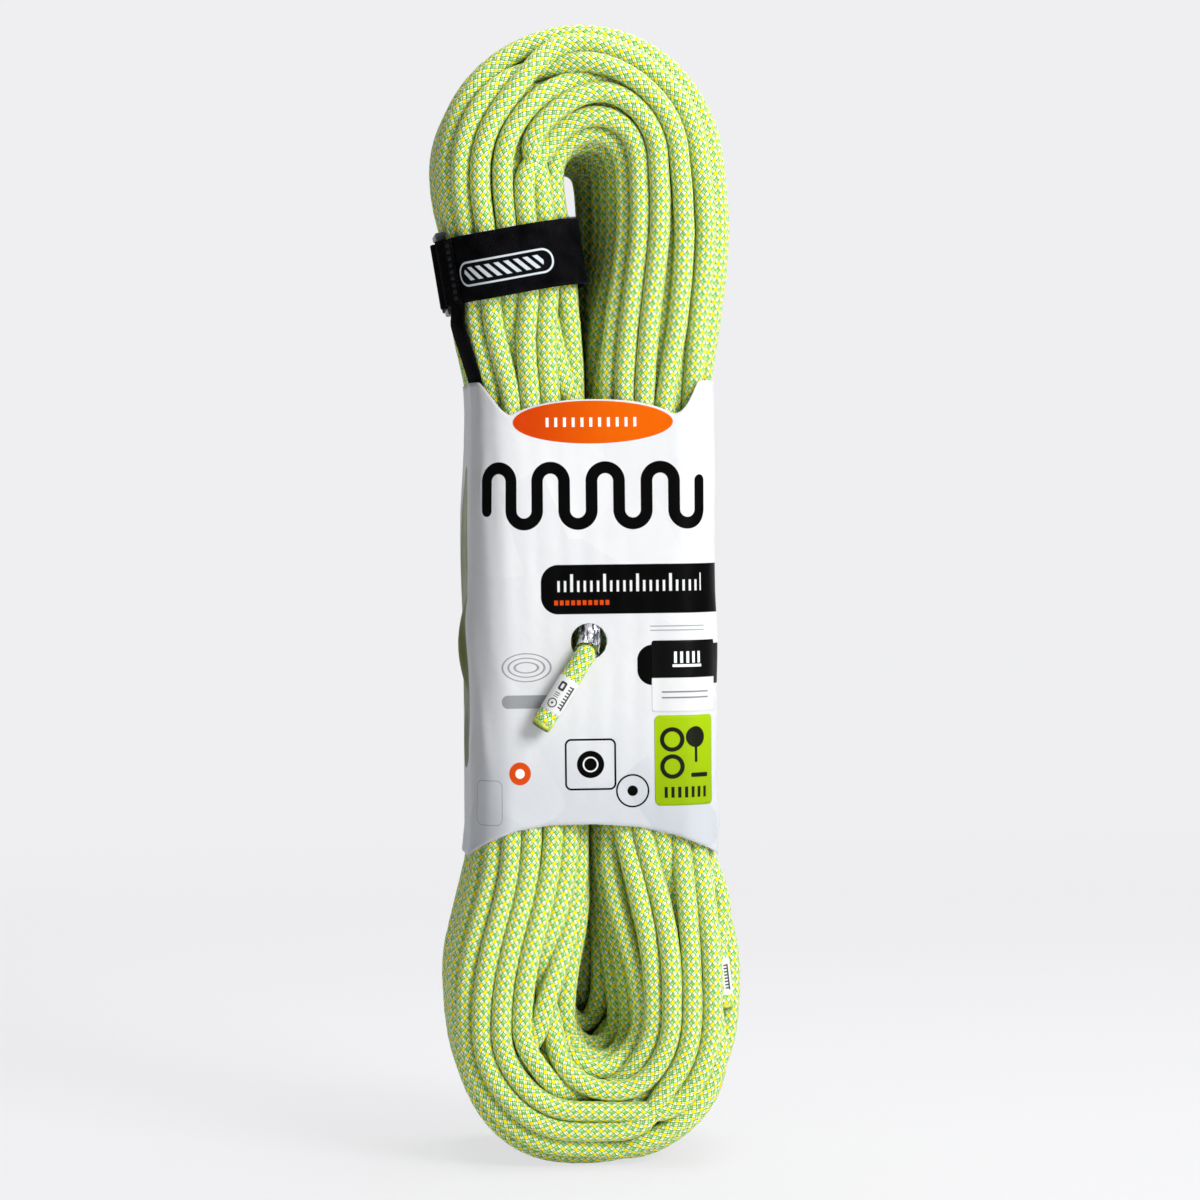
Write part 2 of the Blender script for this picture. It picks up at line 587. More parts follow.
def tube_tree(material):
    board, given, keys = geometry_board("rope_tube", ("Diameter", "Float"), ("Sides", "Int"))
    route = board.node("GeometryNodeMeshToCurve", None, {0: given["Geometry"]})[0]
    route = board.node("GeometryNodeSetCurveNormal", {"mode": "MINIMUM_TWIST"}, {0: route})[0]
    ring = board.node("GeometryNodeCurvePrimitiveCircle", None,
                      {"Resolution": given["Sides"], "Radius": given["Diameter"] * 0.5})[0]
    index = board.node("GeometryNodeInputIndex")[0] / given["Sides"]
    ring = board.node("GeometryNodeStoreNamedAttribute", {"data_type": "FLOAT", "domain": "POINT"},
                      {0: ring, "Name": "round", "Value": index})[0]
    tube = board.node("GeometryNodeCurveToMesh", None, {0: route, 1: ring, "Fill Caps": True})[0]
    around = board.node("GeometryNodeInputNamedAttribute", {"data_type": "FLOAT"}, {"Name": "round"})[0]
    along = board.node("GeometryNodeInputNamedAttribute", {"data_type": "FLOAT"}, {"Name": "along"})[0]
    middle = board.node("GeometryNodeFieldOnDomain", {"data_type": "FLOAT", "domain": "FACE"}, {0: around})[0]
    around = around + ((middle - around) > 0.25)
    pair = board.node("ShaderNodeCombineXYZ", None, {0: around, 1: along})[0]
    tube = board.node("GeometryNodeStoreNamedAttribute", {"data_type": "FLOAT2", "domain": "CORNER"},
                      {0: tube, "Name": "braid", "Value": pair})[0]
    tube = board.node("GeometryNodeSetShadeSmooth", None, {0: tube})[0]
    finish_geometry(board, tube, material)
    return board, keys


def line_mesh(name, points, along):
    """Points joined by edges, in metres, each with its own distance along the line."""
    mesh = bpy.data.meshes.new(name)
    mesh.from_pydata([tuple(p) for p in points * MM], [(i, i + 1) for i in range(len(points) - 1)], [])
    mesh.attributes.new("along", "FLOAT", "POINT").data.foreach_set("value", np.array(along, np.float32))
    return bpy.data.objects.new(name, mesh)


def thin_out(points, turn_deg, longest):
    """Keep a ring where the route has turned by an angle or run a length since the last one."""
    way = np.diff(points, axis=0)
    long = np.linalg.norm(way, axis=1)
    way /= long[:, None]
    turned = np.degrees(np.arccos(np.clip((way[:-1] * way[1:]).sum(1), -1, 1)))
    keep, angle, run = [0], 0.0, 0.0
    for i in range(1, len(points) - 1):
        angle, run = angle + turned[i - 1], run + long[i - 1]
        if angle + turned[i - 1] / 2 > turn_deg or run + long[i] > longest:
            keep.append(i)
            angle = run = 0.0
    return np.array(keep + [len(points) - 1])


def softened(points, times):
    """Each inner point moves half way to the middle of its neighbours."""
    for _ in range(times):
        points = points.copy()
        points[1:-1] = points[1:-1] / 2 + (points[:-2] + points[2:]) / 4
    return points


def read_off(marks, far, values):
    """What the values along a line are at other lengths along it."""
    return np.stack([np.interp(marks, far, column) for column in values.T], -1)


def even(points, step):
    """The same line with its points a fixed step apart."""
    far = lengths(points)
    return read_off(np.linspace(0, far[-1], int(far[-1] / step) + 1), far, points)


def eased(points, tightest, rounds):
    """Soften the corners that turn too far for one step.

    Where points lie closer together than the first two do, some tight bends are missed.
    """
    step = np.linalg.norm(points[1] - points[0])
    for _ in range(rounds):
        way = np.diff(points, axis=0)
        way /= np.linalg.norm(way, axis=1)[:, None]
        sharp = (way[:-1] * way[1:]).sum(1) < math.cos(step / tightest)
        if not sharp.any():
            break
        near = np.convolve(np.pad(sharp, 1), np.ones(5), "same") > 0
        near[[0, -1]] = False
        points = np.where(near[:, None], softened(points, 1), points)
    return points


def bend_radii(points):
    """The radius of the bend at every inner point, from its angle and the lengths on both sides of it."""
    way = np.diff(points, axis=0)
    long = np.linalg.norm(way, axis=1)
    way /= long[:, None]
    angle = np.arccos(np.clip((way[:-1] * way[1:]).sum(1), -1, 1))
    return (long[:-1] + long[1:]) / 2 / np.maximum(angle, 1e-6)


# %% The rope
route = softened(even(softened(route, 2), 4.0), 4)
route = eased(route, 1.1 * ROPE, 60)
route[:, 2] = np.maximum(route[:, 2], HALF_ROPE)
radii = bend_radii(route)
print("tightest bend:", round(radii.min(), 1), "mm;", int((radii < ROPE).sum()), "of", len(radii),
      "points bend tighter than one diameter and", int((radii < 3 * ROPE).sum()), "tighter than three")
along = lengths(route)
rings = thin_out(route, 5.5, 22)
ROPE_SIDES = 12
tube_board, tube_keys = tube_tree(BRAID)
rope = grown(line_mesh("rope", route[rings], along[rings] * MM), tube_board, tube_keys,
             Diameter=ROPE * MM, Sides=ROPE_SIDES)
print("rope:", round(along[-1] / 1000, 2), "m drawn of", ROPE_LONG, "m,", len(rings), "rings,",
      len(rope.data.polygons), "faces")
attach(rope, "hank")
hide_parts("outer_turns", "inner_turns", "free_end_lead", "tail_end_sheath")

# %% [markdown]
# ## The label's shape
# The label is one printed sheet of satin film. It goes once round the waist and its ends are glued
# one over the other at the back. Its upper edge is cut down across the front, with a low tongue in
# the middle, and its lower edge is an arch. Film can't stretch, so it shows the strands under it as
# soft upright ridges, and it folds where it goes round a corner. A cloth simulation would blur those
# crisp folds, so the sheet is a grid in its own flat coordinates, how far round and how high, and
# every point is then laid round the waist and lifted by the sum of its ridges and folds.

# %% Round the waist
LABEL_HALF_WIDE, LABEL_HALF_DEEP, LABEL_CORNER = 57.9, 48.6, 20.8     # its middle surface
HOLE_ACROSS = 16.4
HALF_ROUND = 2 * (LABEL_HALF_WIDE + LABEL_HALF_DEEP - 2 * LABEL_CORNER) + math.pi * LABEL_CORNER
INNER_END, OUTER_END, JOG = -HALF_ROUND - 11, HALF_ROUND + 14, HALF_ROUND - 15.5   # where the sheet's ends lie


def round_the_waist(s):
    """Place and outward direction at a distance s round from the middle of the front, to the right."""
    a, b, r = LABEL_HALF_WIDE - LABEL_CORNER, LABEL_HALF_DEEP - LABEL_CORNER, LABEL_CORNER
    arc = math.pi * r / 2
    s = np.asarray(s, float) % (2 * HALF_ROUND)
    stops = np.cumsum([0, a, arc, 2 * b, arc, 2 * a, arc, 2 * b, arc, a])
    part = np.clip(np.searchsorted(stops, s, side="right") - 1, 0, 8)
    far = s - stops[part]
    turn = np.radians(np.array([0, 0, 90, 90, 180, 180, 270, 270, 360])[part]) + np.where(part % 2 == 1, far / r, 0)
    centre = np.array([(0, -b), (a, -b), (a, -b), (a, b), (a, b), (-a, b), (-a, b), (-a, -b), (-a, -b)])[part]
    out, ahead = np.stack([np.sin(turn), -np.cos(turn)], -1), np.stack([np.cos(turn), np.sin(turn)], -1)
    return centre + out * r + ahead * np.where(part % 2 == 0, far, 0)[..., None], out


def edge_line(*corners):
    """A height for every s: straight between the corners, then rounded a little."""
    at = np.arange(-220, 221, 0.5)
    line = np.interp(at, *np.array(corners).T)
    soft = np.convolve(np.pad(line, 3, "edge"), [0.1, 0.15, 0.15, 0.2, 0.15, 0.15, 0.1], "valid")
    return lambda s: np.interp(s, at, soft)


label_top = edge_line(
    (-200, 343), (-172, 343), (-168, 345), (-160, 354), (-158, 357), (-56, 357.2), (-54, 357), (-50.6, 353.7),
    (-46.3, 348.7), (-42, 344.2), (-38.4, 341.7), (-34, 343.9), (-28, 345.8), (-20, 347.6), (-10, 348.8),
    (0, 349.1), (10, 348.9), (20, 348.0), (28, 346.2), (34, 344.1), (38.2, 341.9), (41.6, 343.6), (45.1, 348.1),
    (47.6, 353.7), (49.2, 357), (51, 357.3), (158, 357), (160, 354), (168, 345), (172, 343), (200, 343))
label_bottom = edge_line(
    (-195, 155), (-165, 153), (-146, 147), (-134, 142), (-120, 140), (-76, 140.6), (-64, 142.6), (-52, 148.2),
    (-37, 154), (-20, 156.4), (0, 156.6), (20, 155), (37, 151), (52, 145), (64, 140.4), (120, 140), (134, 142),
    (146, 147), (165, 153), (210, 155))

# %% Ridges and folds
LABEL_FOLDS = [                                              # from, to, width, height
    (-66, 262, -60, 214, 6.0, 1.5), (-74, 262, -86, 214, 8.0, 4.6), (-57, 222, -50, 176, 4.0, 1.3),
    (-54, 386, -55, 318, 9.0, 1.6),
    (-60, 208, -68, 176, 4.0, 1.0), (-84, 300, -76, 262, 7.0, 1.0), (-50, 335, -58, 288, 5.0, 0.7),
    (62, 262, 74, 214, 6.0, 0.7), (58, 336, 66, 300, 5.0, 0.5), (-95, 220, -104, 170, 7.0, 1.2),
    (88, 320, 96, 250, 7.0, 0.9), (100, 215, 90, 160, 6.0, 0.9), (-120, 330, -128, 250, 7.0, 0.9),
    (130, 300, 124, 200, 8.0, 0.9), (-58, 170, -70, 146, 5.0, 1.1), (60, 172, 72, 144, 5.5, 1.0),
    (160, 280, 150, 180, 8.0, 0.8), (-160, 260, -150, 170, 8.0, 0.8), (-44, 168, -34, 152, 4.0, 0.5),
    (-28, 200, -40, 170, 3.5, 0.4), (44, 200, 52, 160, 4.0, 0.4), (-46, 236, -38, 206, 3.5, 0.4),
]


def fold(s, z, s0, z0, s1, z1, wide, high):
    """One crease: a soft ridge along the line from (s0, z0) to (s1, z1)."""
    way = np.array([s1 - s0, z1 - z0])
    t = np.clip(((s - s0) * way[0] + (z - z0) * way[1]) / (way @ way), 0, 1)
    off = np.hypot(s - s0 - t * way[0], z - z0 - t * way[1])
    return high * np.exp(-(off / wide) ** 2) * np.sin(np.pi * np.clip(t, 0.04, 0.96))


def label_swell(s, z):
    """How far the film stands out from its plain outline, never inwards."""
    ridges = 0.14 * (1 + np.cos(2 * np.pi * (s + 3 * np.sin(z / 47)) / 10.4)) * (0.55 + 0.45 * np.sin(z / 31 + s / 23))
    corner = smooth((np.abs(s) - 34) / 14) * smooth((HALF_ROUND - 30 - np.abs(s)) / 14)
    side = corner * (0.5 + 0.5 * np.sin(z / 17.0 + np.sign(s) * 1.1))
    total = ridges + 0.25 * side + sum(fold(s, z, *line) for line in LABEL_FOLDS)
    hem = np.minimum(z - label_bottom(s), label_top(s) - z)
    total = total + 0.4 * corner * np.exp(-np.maximum(hem, 0) / 6) * (1 + np.sin(s / 6.5))
    near_hole = smooth((np.hypot(s - HOLE[0], z - HOLE[2]) - 9) / 14)
    return total * (0.15 + 0.85 * near_hole) + 0.8 * smooth((s - JOG) / 4)


LEFT_DRAWN_IN = ((140, 2.0), (152, 3.2), (300, 3.4), (328, 4.6), (345, 5.2), (357, 5.0))       # height, how far in


def on_label(s, z, lift=0.0):
    place, out = round_the_waist(s)
    place = place + out * (label_swell(s, z) + lift)[..., None]
    drawn = np.interp(z, *np.array(LEFT_DRAWN_IN).T)
    place[..., 0] += drawn * np.clip(-place[..., 0] / LABEL_HALF_WIDE, 0, 1) ** 3
    return np.concatenate([place, np.asarray(z, float)[..., None]], -1)


# %% The sheet
def spread(*parts):
    """Grid lines: each part is start, end and step."""
    lines = [np.linspace(a, b, max(2, round((b - a) / step) + 1))[:-1] for a, b, step in parts]
    return np.concatenate(lines + [[parts[-1][1]]])


def mesh_piece(name, points, faces, flat=None, material=None):
    """A smooth mesh from points in millimetres, with flat coordinates (also in millimetres) at its corners."""
    mesh = bpy.data.meshes.new(name)
    mesh.from_pydata((np.asarray(points) * MM).tolist(), [], faces if isinstance(faces, list) else faces.tolist())
    if flat is not None:
        corners = np.empty(len(mesh.loops), np.int32)
        mesh.loops.foreach_get("vertex_index", corners)
        mesh.uv_layers.new(name="flat").data.foreach_set("uv", np.asarray(flat, np.float32)[corners].ravel())
    mesh.shade_smooth()
    if material:
        mesh.materials.append(material)
    made = bpy.data.objects.new(name, mesh)
    bpy.context.scene.collection.objects.link(made)
    return made


def sheet_mesh(name, s_lines, share_lines, bottom, top, lift, material, hole=None):
    """A grid between two edges, laid on the label, with a round hole cut at (s, z, radius)."""
    s, share = np.meshgrid(s_lines, share_lines, indexing="ij")
    z = mix(bottom(s), top(s), share)
    index = np.arange(s.size).reshape(s.shape)
    quads = np.stack([index[:-1, :-1], index[1:, :-1], index[1:, 1:], index[:-1, 1:]], -1).reshape(-1, 4)
    s, z = s.ravel(), z.ravel()
    if hole:
        off = np.stack([s - hole[0], z - hole[1]], -1)
        far = np.linalg.norm(off, axis=1)
        quads = quads[(far[quads] >= hole[2]).any(1)]
        on_rim = np.array(hole[:2]) + off / np.maximum(far, 1e-6)[:, None] * hole[2]
        edge = far < hole[2]
        s, z = np.where(edge, on_rim[:, 0], s), np.where(edge, on_rim[:, 1], z)
    used = np.unique(quads)
    number = np.zeros(len(s), int)
    number[used] = np.arange(len(used))
    s, z = s[used], z[used]
    return mesh_piece(name, on_label(s, z, np.full(len(s), lift)), number[quads], np.stack([s, z], -1), material)


def thickened(piece, thick):
    solid = piece.modifiers.new("thickness", "SOLIDIFY")
    solid.thickness, solid.offset = thick * MM, 0
    return piece


# %% [markdown]
# ## Printing on the film
# Print is flat ink, so it belongs in the material, not in the mesh. Each shape is a distance in
# millimetres on the sheet: where the distance is below zero there is ink, and a very narrow soft
# step keeps the edge crisp at any zoom. The motifs are plain: bars, rings, ovals and
# one long line in loops, as a rope is laid out.

# %% Shapes for prints
class Print:
    """Ink shapes on a flat sheet; across and up are millimetres on it, and edge is how soft the ink's rim is."""

    def __init__(self, board, across, up, edge=0.13):
        self.board, self.across, self.up, self.edge = board, across, up, edge

    def inked(self, distance):
        return 1 - self.board.step(distance, -self.edge, self.edge)

    def from_plate(self, x0, x1, z0, z1, corner):
        dx = (self.across - (x0 + x1) / 2).size() - ((x1 - x0) / 2 - corner)
        dz = (self.up - (z0 + z1) / 2).size() - ((z1 - z0) / 2 - corner)
        outside = (dx.most(0) * dx.most(0) + dz.most(0) * dz.most(0)).root()
        return outside + dx.most(dz).least(0) - corner

    def plate(self, x0, x1, z0, z1, corner=0.3):
        return self.inked(self.from_plate(x0, x1, z0, z1, corner))

    def frame(self, x0, x1, z0, z1, corner, line):
        return self.inked(self.from_plate(x0, x1, z0, z1, corner).size() - line / 2)

    def from_disc(self, x, z, radius, flat=1.0):
        dx, dz = self.across - x, (self.up - z) / flat
        return ((dx * dx + dz * dz).root() - radius) * min(1.0, flat * 1.6)

    def disc(self, x, z, radius, flat=1.0):
        return self.inked(self.from_disc(x, z, radius, flat))

    def ring(self, x, z, radius, line, flat=1.0):
        return self.inked(self.from_disc(x, z, radius, flat).size() - line / 2)

    def bars(self, x0, x1, z0, z1, step, wide):
        off = (((self.across - x0) / step).fract() - 0.5).size() * step - wide / 2
        return self.inked(off.most(self.from_plate(x0, x1, z0, z1, 0.1)))

    def lines(self, x0, x1, z0, z1, step, high):
        off = (((self.up - z0) / step).fract() - 0.5).size() * step - high / 2
        return self.inked(off.most(self.from_plate(x0, x1, z0, z1, 0.1)))

    def arcs(self, first, z, radius, step, line, way):
        """Half rings in a row, each a step from the next: above the height z, or below it when way is -1."""
        dx = (((self.across - first) / step + 0.5).fract() - 0.5) * step
        dz = (self.up - z) * way
        return (((dx * dx + dz * dz).root() - radius).size() - line / 2).most(0 - dz)

    def loops(self, x0, z0, z1, step, count, line):
        """One line that runs up and down between z0 and z1, as rope is laid out in loops."""
        x1 = x0 + step * (count - 1)
        upright = (((self.across - x0) / step + 0.5).fract() - 0.5).size() * step - line / 2
        shape = upright.most(self.from_plate(x0 - line, x1 + line, z0 - 0.3, z1 + 0.3, 0.1))
        above = self.arcs(x0 + step / 2, z1, step / 2, 2 * step, line, 1).most(self.across - (x1 - step / 2))
        below = self.arcs(x0 + 1.5 * step, z0, step / 2, 2 * step, line, -1).most(x0 + step / 2 - self.across)
        shape = shape.least(above).least(below)
        ends = self.from_disc(x0, z0, line / 2).least(self.from_disc(x1, z1, line / 2))
        return self.inked(shape.most(self.from_plate(x0 - line / 2, x1 + line / 2, z0 - 99, z1 + 99, 0.1)).least(ends))


def sheet_place(board):
    place = board.node("ShaderNodeUVMap", {"uv_map": "flat"})["UV"]
    split = board.node("ShaderNodeSeparateXYZ", None, {0: place})
    return place, split["X"], split["Y"]


def many(*masks):
    whole = masks[0]
    for mask in masks[1:]:
        whole = whole.most(mask)
    return whole


# %% The label's film
def label_finish():
    material, board, shader = finish_board("printed_film", Specular_IOR_Level=0.05)
    place, across, up = sheet_place(board)
    ink = Print(board, across, up)
    facet = board.node("ShaderNodeTexVoronoi", {"voronoi_dimensions": "2D"}, {"Vector": place, "Scale": 0.026})["Color"]
    facet = board.node("ShaderNodeSeparateColor", None, {0: facet})[0]
    low = board.step(up, 235, 150)
    film = board.blend(facet, srgb(214, 215, 217), srgb(220, 221, 222))
    film = board.blend(low * (0.45 + facet * 0.55), film, srgb(186, 190, 196))
    film = board.blend(board.step(across, -24, -56) * 0.4, film, srgb(170, 173, 179))
    side = ((across + 97) / 28) * ((across + 97) / 28) + ((up - 250) / 70) * ((up - 250) / 70)
    olive = board.blend(board.step(up, 190, 300), srgb(74, 82, 18), srgb(108, 118, 62))
    colour = board.blend(ink.inked((side - 1) * 12), film, olive)
    oval = ink.disc(0.3, 338.7, 37.0, 0.262)
    orange = board.blend(board.step(across, -36, 20), srgb(196, 60, 4), srgb(220, 94, 0))
    colour = board.blend(oval, colour, orange)
    colour = board.blend(ink.bars(-22, 22, 336.6, 340.8, 4.0, 1.3), colour, srgb(250, 246, 240))
    black = many(ink.loops(-50, 299, 312, 12.5, 9, 5.4), ink.plate(-23.7, 96, 251.9, 274.3, 8),
                 ink.plate(20, 84, 219.3, 237.7, 7), ink.frame(-13, 9.5, 172.5, 195, 2.5, 0.9),
                 ink.disc(-1.75, 183.75, 6.2), ink.ring(17.3, 171.5, 7.2, 0.8), ink.disc(17.3, 171.5, 2.4))
    colour = board.blend(black, colour, srgb(3, 3, 3))
    white = many(ink.bars(-17, 50.5, 262, 267, 3.0, 1.1), ink.bars(-17, 50.5, 262, 270, 15.0, 1.3),
                 ink.ring(-1.75, 183.75, 3.2, 0.7))
    colour = board.blend(white, colour, srgb(222, 222, 222))
    rust = many(ink.bars(-18, 8, 256, 258.2, 2.6, 1.7), ink.disc(-34.5, 180, 5.2))
    colour = board.blend(rust, colour, srgb(204, 70, 14))
    grey = many(*(ink.ring(-31, 228, radius, 0.8, flat) for radius, flat in ((11.5, 0.55), (8.6, 0.5), (5.6, 0.42))),
                ink.plate(-43, -19, 209.5, 215.5, 3), ink.frame(-58.5, -43.3, 156.6, 176.8, 3, 0.35),
                ink.lines(26, 52, 243.2, 247.0, 1.9, 0.5), ink.lines(118, 160, 170, 232, 4.4, 0.9),
                ink.lines(-176, -160, 250, 332, 4.4, 0.9), ink.plate(118, 160, 244, 262, 2),
                ink.lines(-176, -158, 180, 240, 3.4, 0.7))
    colour = board.blend(grey * 0.85, colour, srgb(132, 135, 138))
    colour = board.blend(ink.disc(-34.5, 180, 2.2), colour, srgb(246, 244, 240))
    grain = board.noise(place, 0.9, 4.0)
    wrinkle = board.noise(place, 0.09, 2.0)
    feed(board, shader, Base_Color=colour, Roughness=0.30 + grain * 0.10 + wrinkle * 0.08,
         Normal=bumped(board, grain * 0.05 + wrinkle, 0.0006, 0.5))
    return material


LABEL_STEPS = spread((INNER_END, -90, 3.0), (-90, -44, 1.0), (-44, -14, 1.8), (-14, 10, 0.8), (10, 40, 1.8),
                     (40, 80, 1.3), (80, JOG, 3.0), (JOG, OUTER_END, 1.5))
LABEL_SHARES = spread((0, 0.08, 0.010), (0.08, 0.40, 0.009), (0.40, 0.52, 0.0042), (0.52, 0.92, 0.010),
                      (0.92, 1, 0.010))
label = sheet_mesh("label", LABEL_STEPS, LABEL_SHARES, label_bottom, label_top, 0.0, label_finish(),
                   (HOLE[0], HOLE[2], HOLE_ACROSS / 2))
thickened(label, 0.35)
print("label:", len(label.data.polygons), "faces,", round(OUTER_END - INNER_END), "mm long before it is wrapped")
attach(label, "hank")
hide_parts("label_wrap")


# %% The two stickers
def plate_edges(s0, s1, z0, z1, corner):
    def cut(s):
        over = np.maximum(np.maximum(s0 + corner - s, s - s1 + corner), 0)
        return corner - np.sqrt(np.maximum(corner ** 2 - over ** 2, 0))
    return lambda s: z0 + cut(s), lambda s: z1 - cut(s)


def sticker_finish(name, printed):
    """Coated paper: the print is drawn first, and a fine grain goes over all of it."""
    material, board, shader = finish_board(name, Specular_IOR_Level=0.1)
    place, across, up = sheet_place(board)
    paper = printed(board, Print(board, across, up))
    grain = board.noise(place, 1.4, 3.0)
    feed(board, shader, Base_Color=paper, Roughness=0.34 + grain * 0.14, Normal=bumped(board, grain, 0.00004, 0.5))
    return material


def length_print(board, ink):
    paper = board.blend(ink.plate(20, 80, 222.5, 245, 0.1), srgb(216, 216, 217), srgb(3, 3, 3))
    white = many(ink.bars(36, 50, 229.2, 234.4, 2.8, 1.3), ink.plate(36, 50, 227.4, 228.6))
    paper = board.blend(white, paper, srgb(240, 240, 240))
    return board.blend(ink.lines(31, 54, 212.2, 218.2, 2.6, 0.7), paper, srgb(120, 122, 124))


def green_print(board, ink):
    paper = board.blend(board.step(ink.up, 164, 206), srgb(139, 170, 1), srgb(153, 186, 2))
    dark = many(ink.ring(35.5, 194.5, 4.6, 2.0), ink.ring(35.5, 182.2, 4.6, 2.0), ink.disc(46.5, 195.5, 4.8),
                ink.plate(45.8, 47.2, 184, 193, 0.4), ink.bars(31, 53, 168, 173, 3.1, 1.5),
                ink.plate(44, 53, 177.2, 179.2, 0.5))
    return board.blend(dark, paper, srgb(22, 24, 14))


for name, node, slot, (s0, s1, z0, z1, corner), printed in [
    ("length_label", "length_sticker", "black_white_print", (26.5, 59.6, 207, 239.5, 1.2), length_print),
    ("green_label", "green_sticker", "green_print", (27.5, 56.8, 164.5, 205.5, 2.6), green_print),
]:
    low, high = plate_edges(s0, s1, z0, z1, corner)
    steps = spread((s0, s0 + corner, 0.3), (s0 + corner, s1 - corner, 1.3), (s1 - corner, s1, 0.3))
    sticker = sheet_mesh(name, steps, spread((0, 1, 0.03)), low, high, 0.26, sticker_finish(node + "_paper", printed))
    thickened(sticker, 0.12)
    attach(sticker, "hank")
    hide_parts(node)
    print(name, "is", round(s1 - s0, 1), "by", z1 - z0, "mm")

# %% [markdown]
# ## Webbing
# The strap is nylon tape, thirty millimetres wide and 1.4 mm thick. One end is sewn round the front
# bar of a slide buckle. The tape goes round the leg, through the buckle and back on itself, where
# hook and loop tape holds it. Tape bends only one way, so it is built from a line in its own plane:
# straight stretches and arcs. A flat oval section follows that line, with a thin rounded edge. Cloth
# simulation would crumple it, and real webbing is too stiff for that.

# %% The strap's own plane
STRAP_TILT, STRAP_HOME = math.radians(-9), np.array([-31.75, 0, 412])
TAPE_THICK = 1.4
CORNER_AT, CORNER_BEND = np.array([5.25, 32.1]), 24.7        # the leg's rounded corners and the tape's bend there
BAR_X, FRONT_BAR, REAR_BAR = -32.45, -33.0, -15.0
SIDE_X = -(CORNER_AT[0] + CORNER_BEND)


def strap_way(x, y, w):
    """Turn a direction in the strap's plane into the model's frame."""
    c, s = math.cos(STRAP_TILT), math.sin(STRAP_TILT)
    return np.stack([x * c + w * s, y + 0 * x, -x * s + w * c], -1)


def arc(x, y, radius, start, end, step=9):
    turn = np.radians(np.linspace(start, end, max(2, int(abs(end - start) / step) + 1)))
    return [(x + radius * math.cos(a), y + radius * math.sin(a)) for a in turn]


def easing(start, start_way, end, end_way, steps):
    """A smooth stretch between two points, with a direction at each end."""
    t = np.linspace(0, 1, steps + 2)[1:-1, None]
    start, end, a, b = (np.array(v, float) for v in (start, end, start_way, end_way))
    far = np.linalg.norm(end - start)
    line = (2 * t ** 3 - 3 * t ** 2 + 1) * start + (t ** 3 - 2 * t ** 2 + t) * far * a
    return [tuple(p) for p in line + (3 * t ** 2 - 2 * t ** 3) * end + (t ** 3 - t ** 2) * far * b]


def corner(x_side, y_side, start, end, radius=CORNER_BEND):
    return arc(x_side * CORNER_AT[0], y_side * CORNER_AT[1], radius, start, end, 6)


def strap_line():
    line = corner(-1, -1, 207, 193, CORNER_BEND + TAPE_THICK)
    line += easing(line[-1], (-0.225, 0.974), (BAR_X - 2.5, FRONT_BAR - 0.4), (0, 1), 5)
    line += arc(BAR_X, FRONT_BAR, 2.5, 180, 0, 15)
    line += corner(-1, -1, 184, 270) + corner(1, -1, 270, 360) + [(-SIDE_X, y) for y in (-20, -8, 4, 16)]
    line += corner(1, 1, 0, 90) + corner(-1, 1, 90, 180) + [(SIDE_X, y) for y in (20, 8, -4)]
    line += arc(SIDE_X - 3.1, REAR_BAR, 3.1, 0, -180, 15)
    line += easing((SIDE_X - 6.2, REAR_BAR), (0, 1), (-32.95, -4), (0, 1), 5) + [(-32.95, y) for y in (-4, 6, 18, 30)]
    return np.array(line)


# %% A woven band
def band(name, middle, out, along, across, thick, material):
    """A closed band: middle and out are grids of points and directions, along its length and across it."""
    half = across.max()
    edge = np.clip((half - np.abs(across)) / (thick / 2), 0, 1)
    swell = np.sqrt(1 - (1 - edge) ** 2) * thick / 2
    rows = len(middle)
    outer_face, inner_face = middle + out * swell[None, :, None], middle - out * swell[None, :, None]
    ring = np.concatenate([outer_face, inner_face[:, -2:0:-1]], 1)
    place = np.concatenate([across, across[-2:0:-1]])
    size = ring.shape[1]
    index = np.arange(rows * size).reshape(rows, size)
    after = np.roll(index, -1, axis=1)
    quads = np.stack([index[:-1], after[:-1], after[1:], index[1:]], -1).reshape(-1, 4).tolist()
    flat = np.stack(np.broadcast_arrays(along[:, None], place[None]), -1).reshape(-1, 2)
    piece = mesh_piece(name, ring.reshape(-1, 3), quads + [index[0].tolist(), index[-1][::-1].tolist()], flat, material)
    outwards(piece.data)
    return piece


def outwards(mesh):
    shape = bmesh.new()
    shape.from_mesh(mesh)
    bmesh.ops.recalc_face_normals(shape, faces=shape.faces)
    shape.to_mesh(mesh)
    shape.free()


TAPE_ACROSS = np.concatenate([[-15, -14.85, -14.6, -14.3], np.linspace(-13.6, 13.6, 17), [14.3, 14.6, 14.85, 15]])
PRINT_FROM, PRINT_TO = -30.5, 14.5                           # the printed motif, along the tape


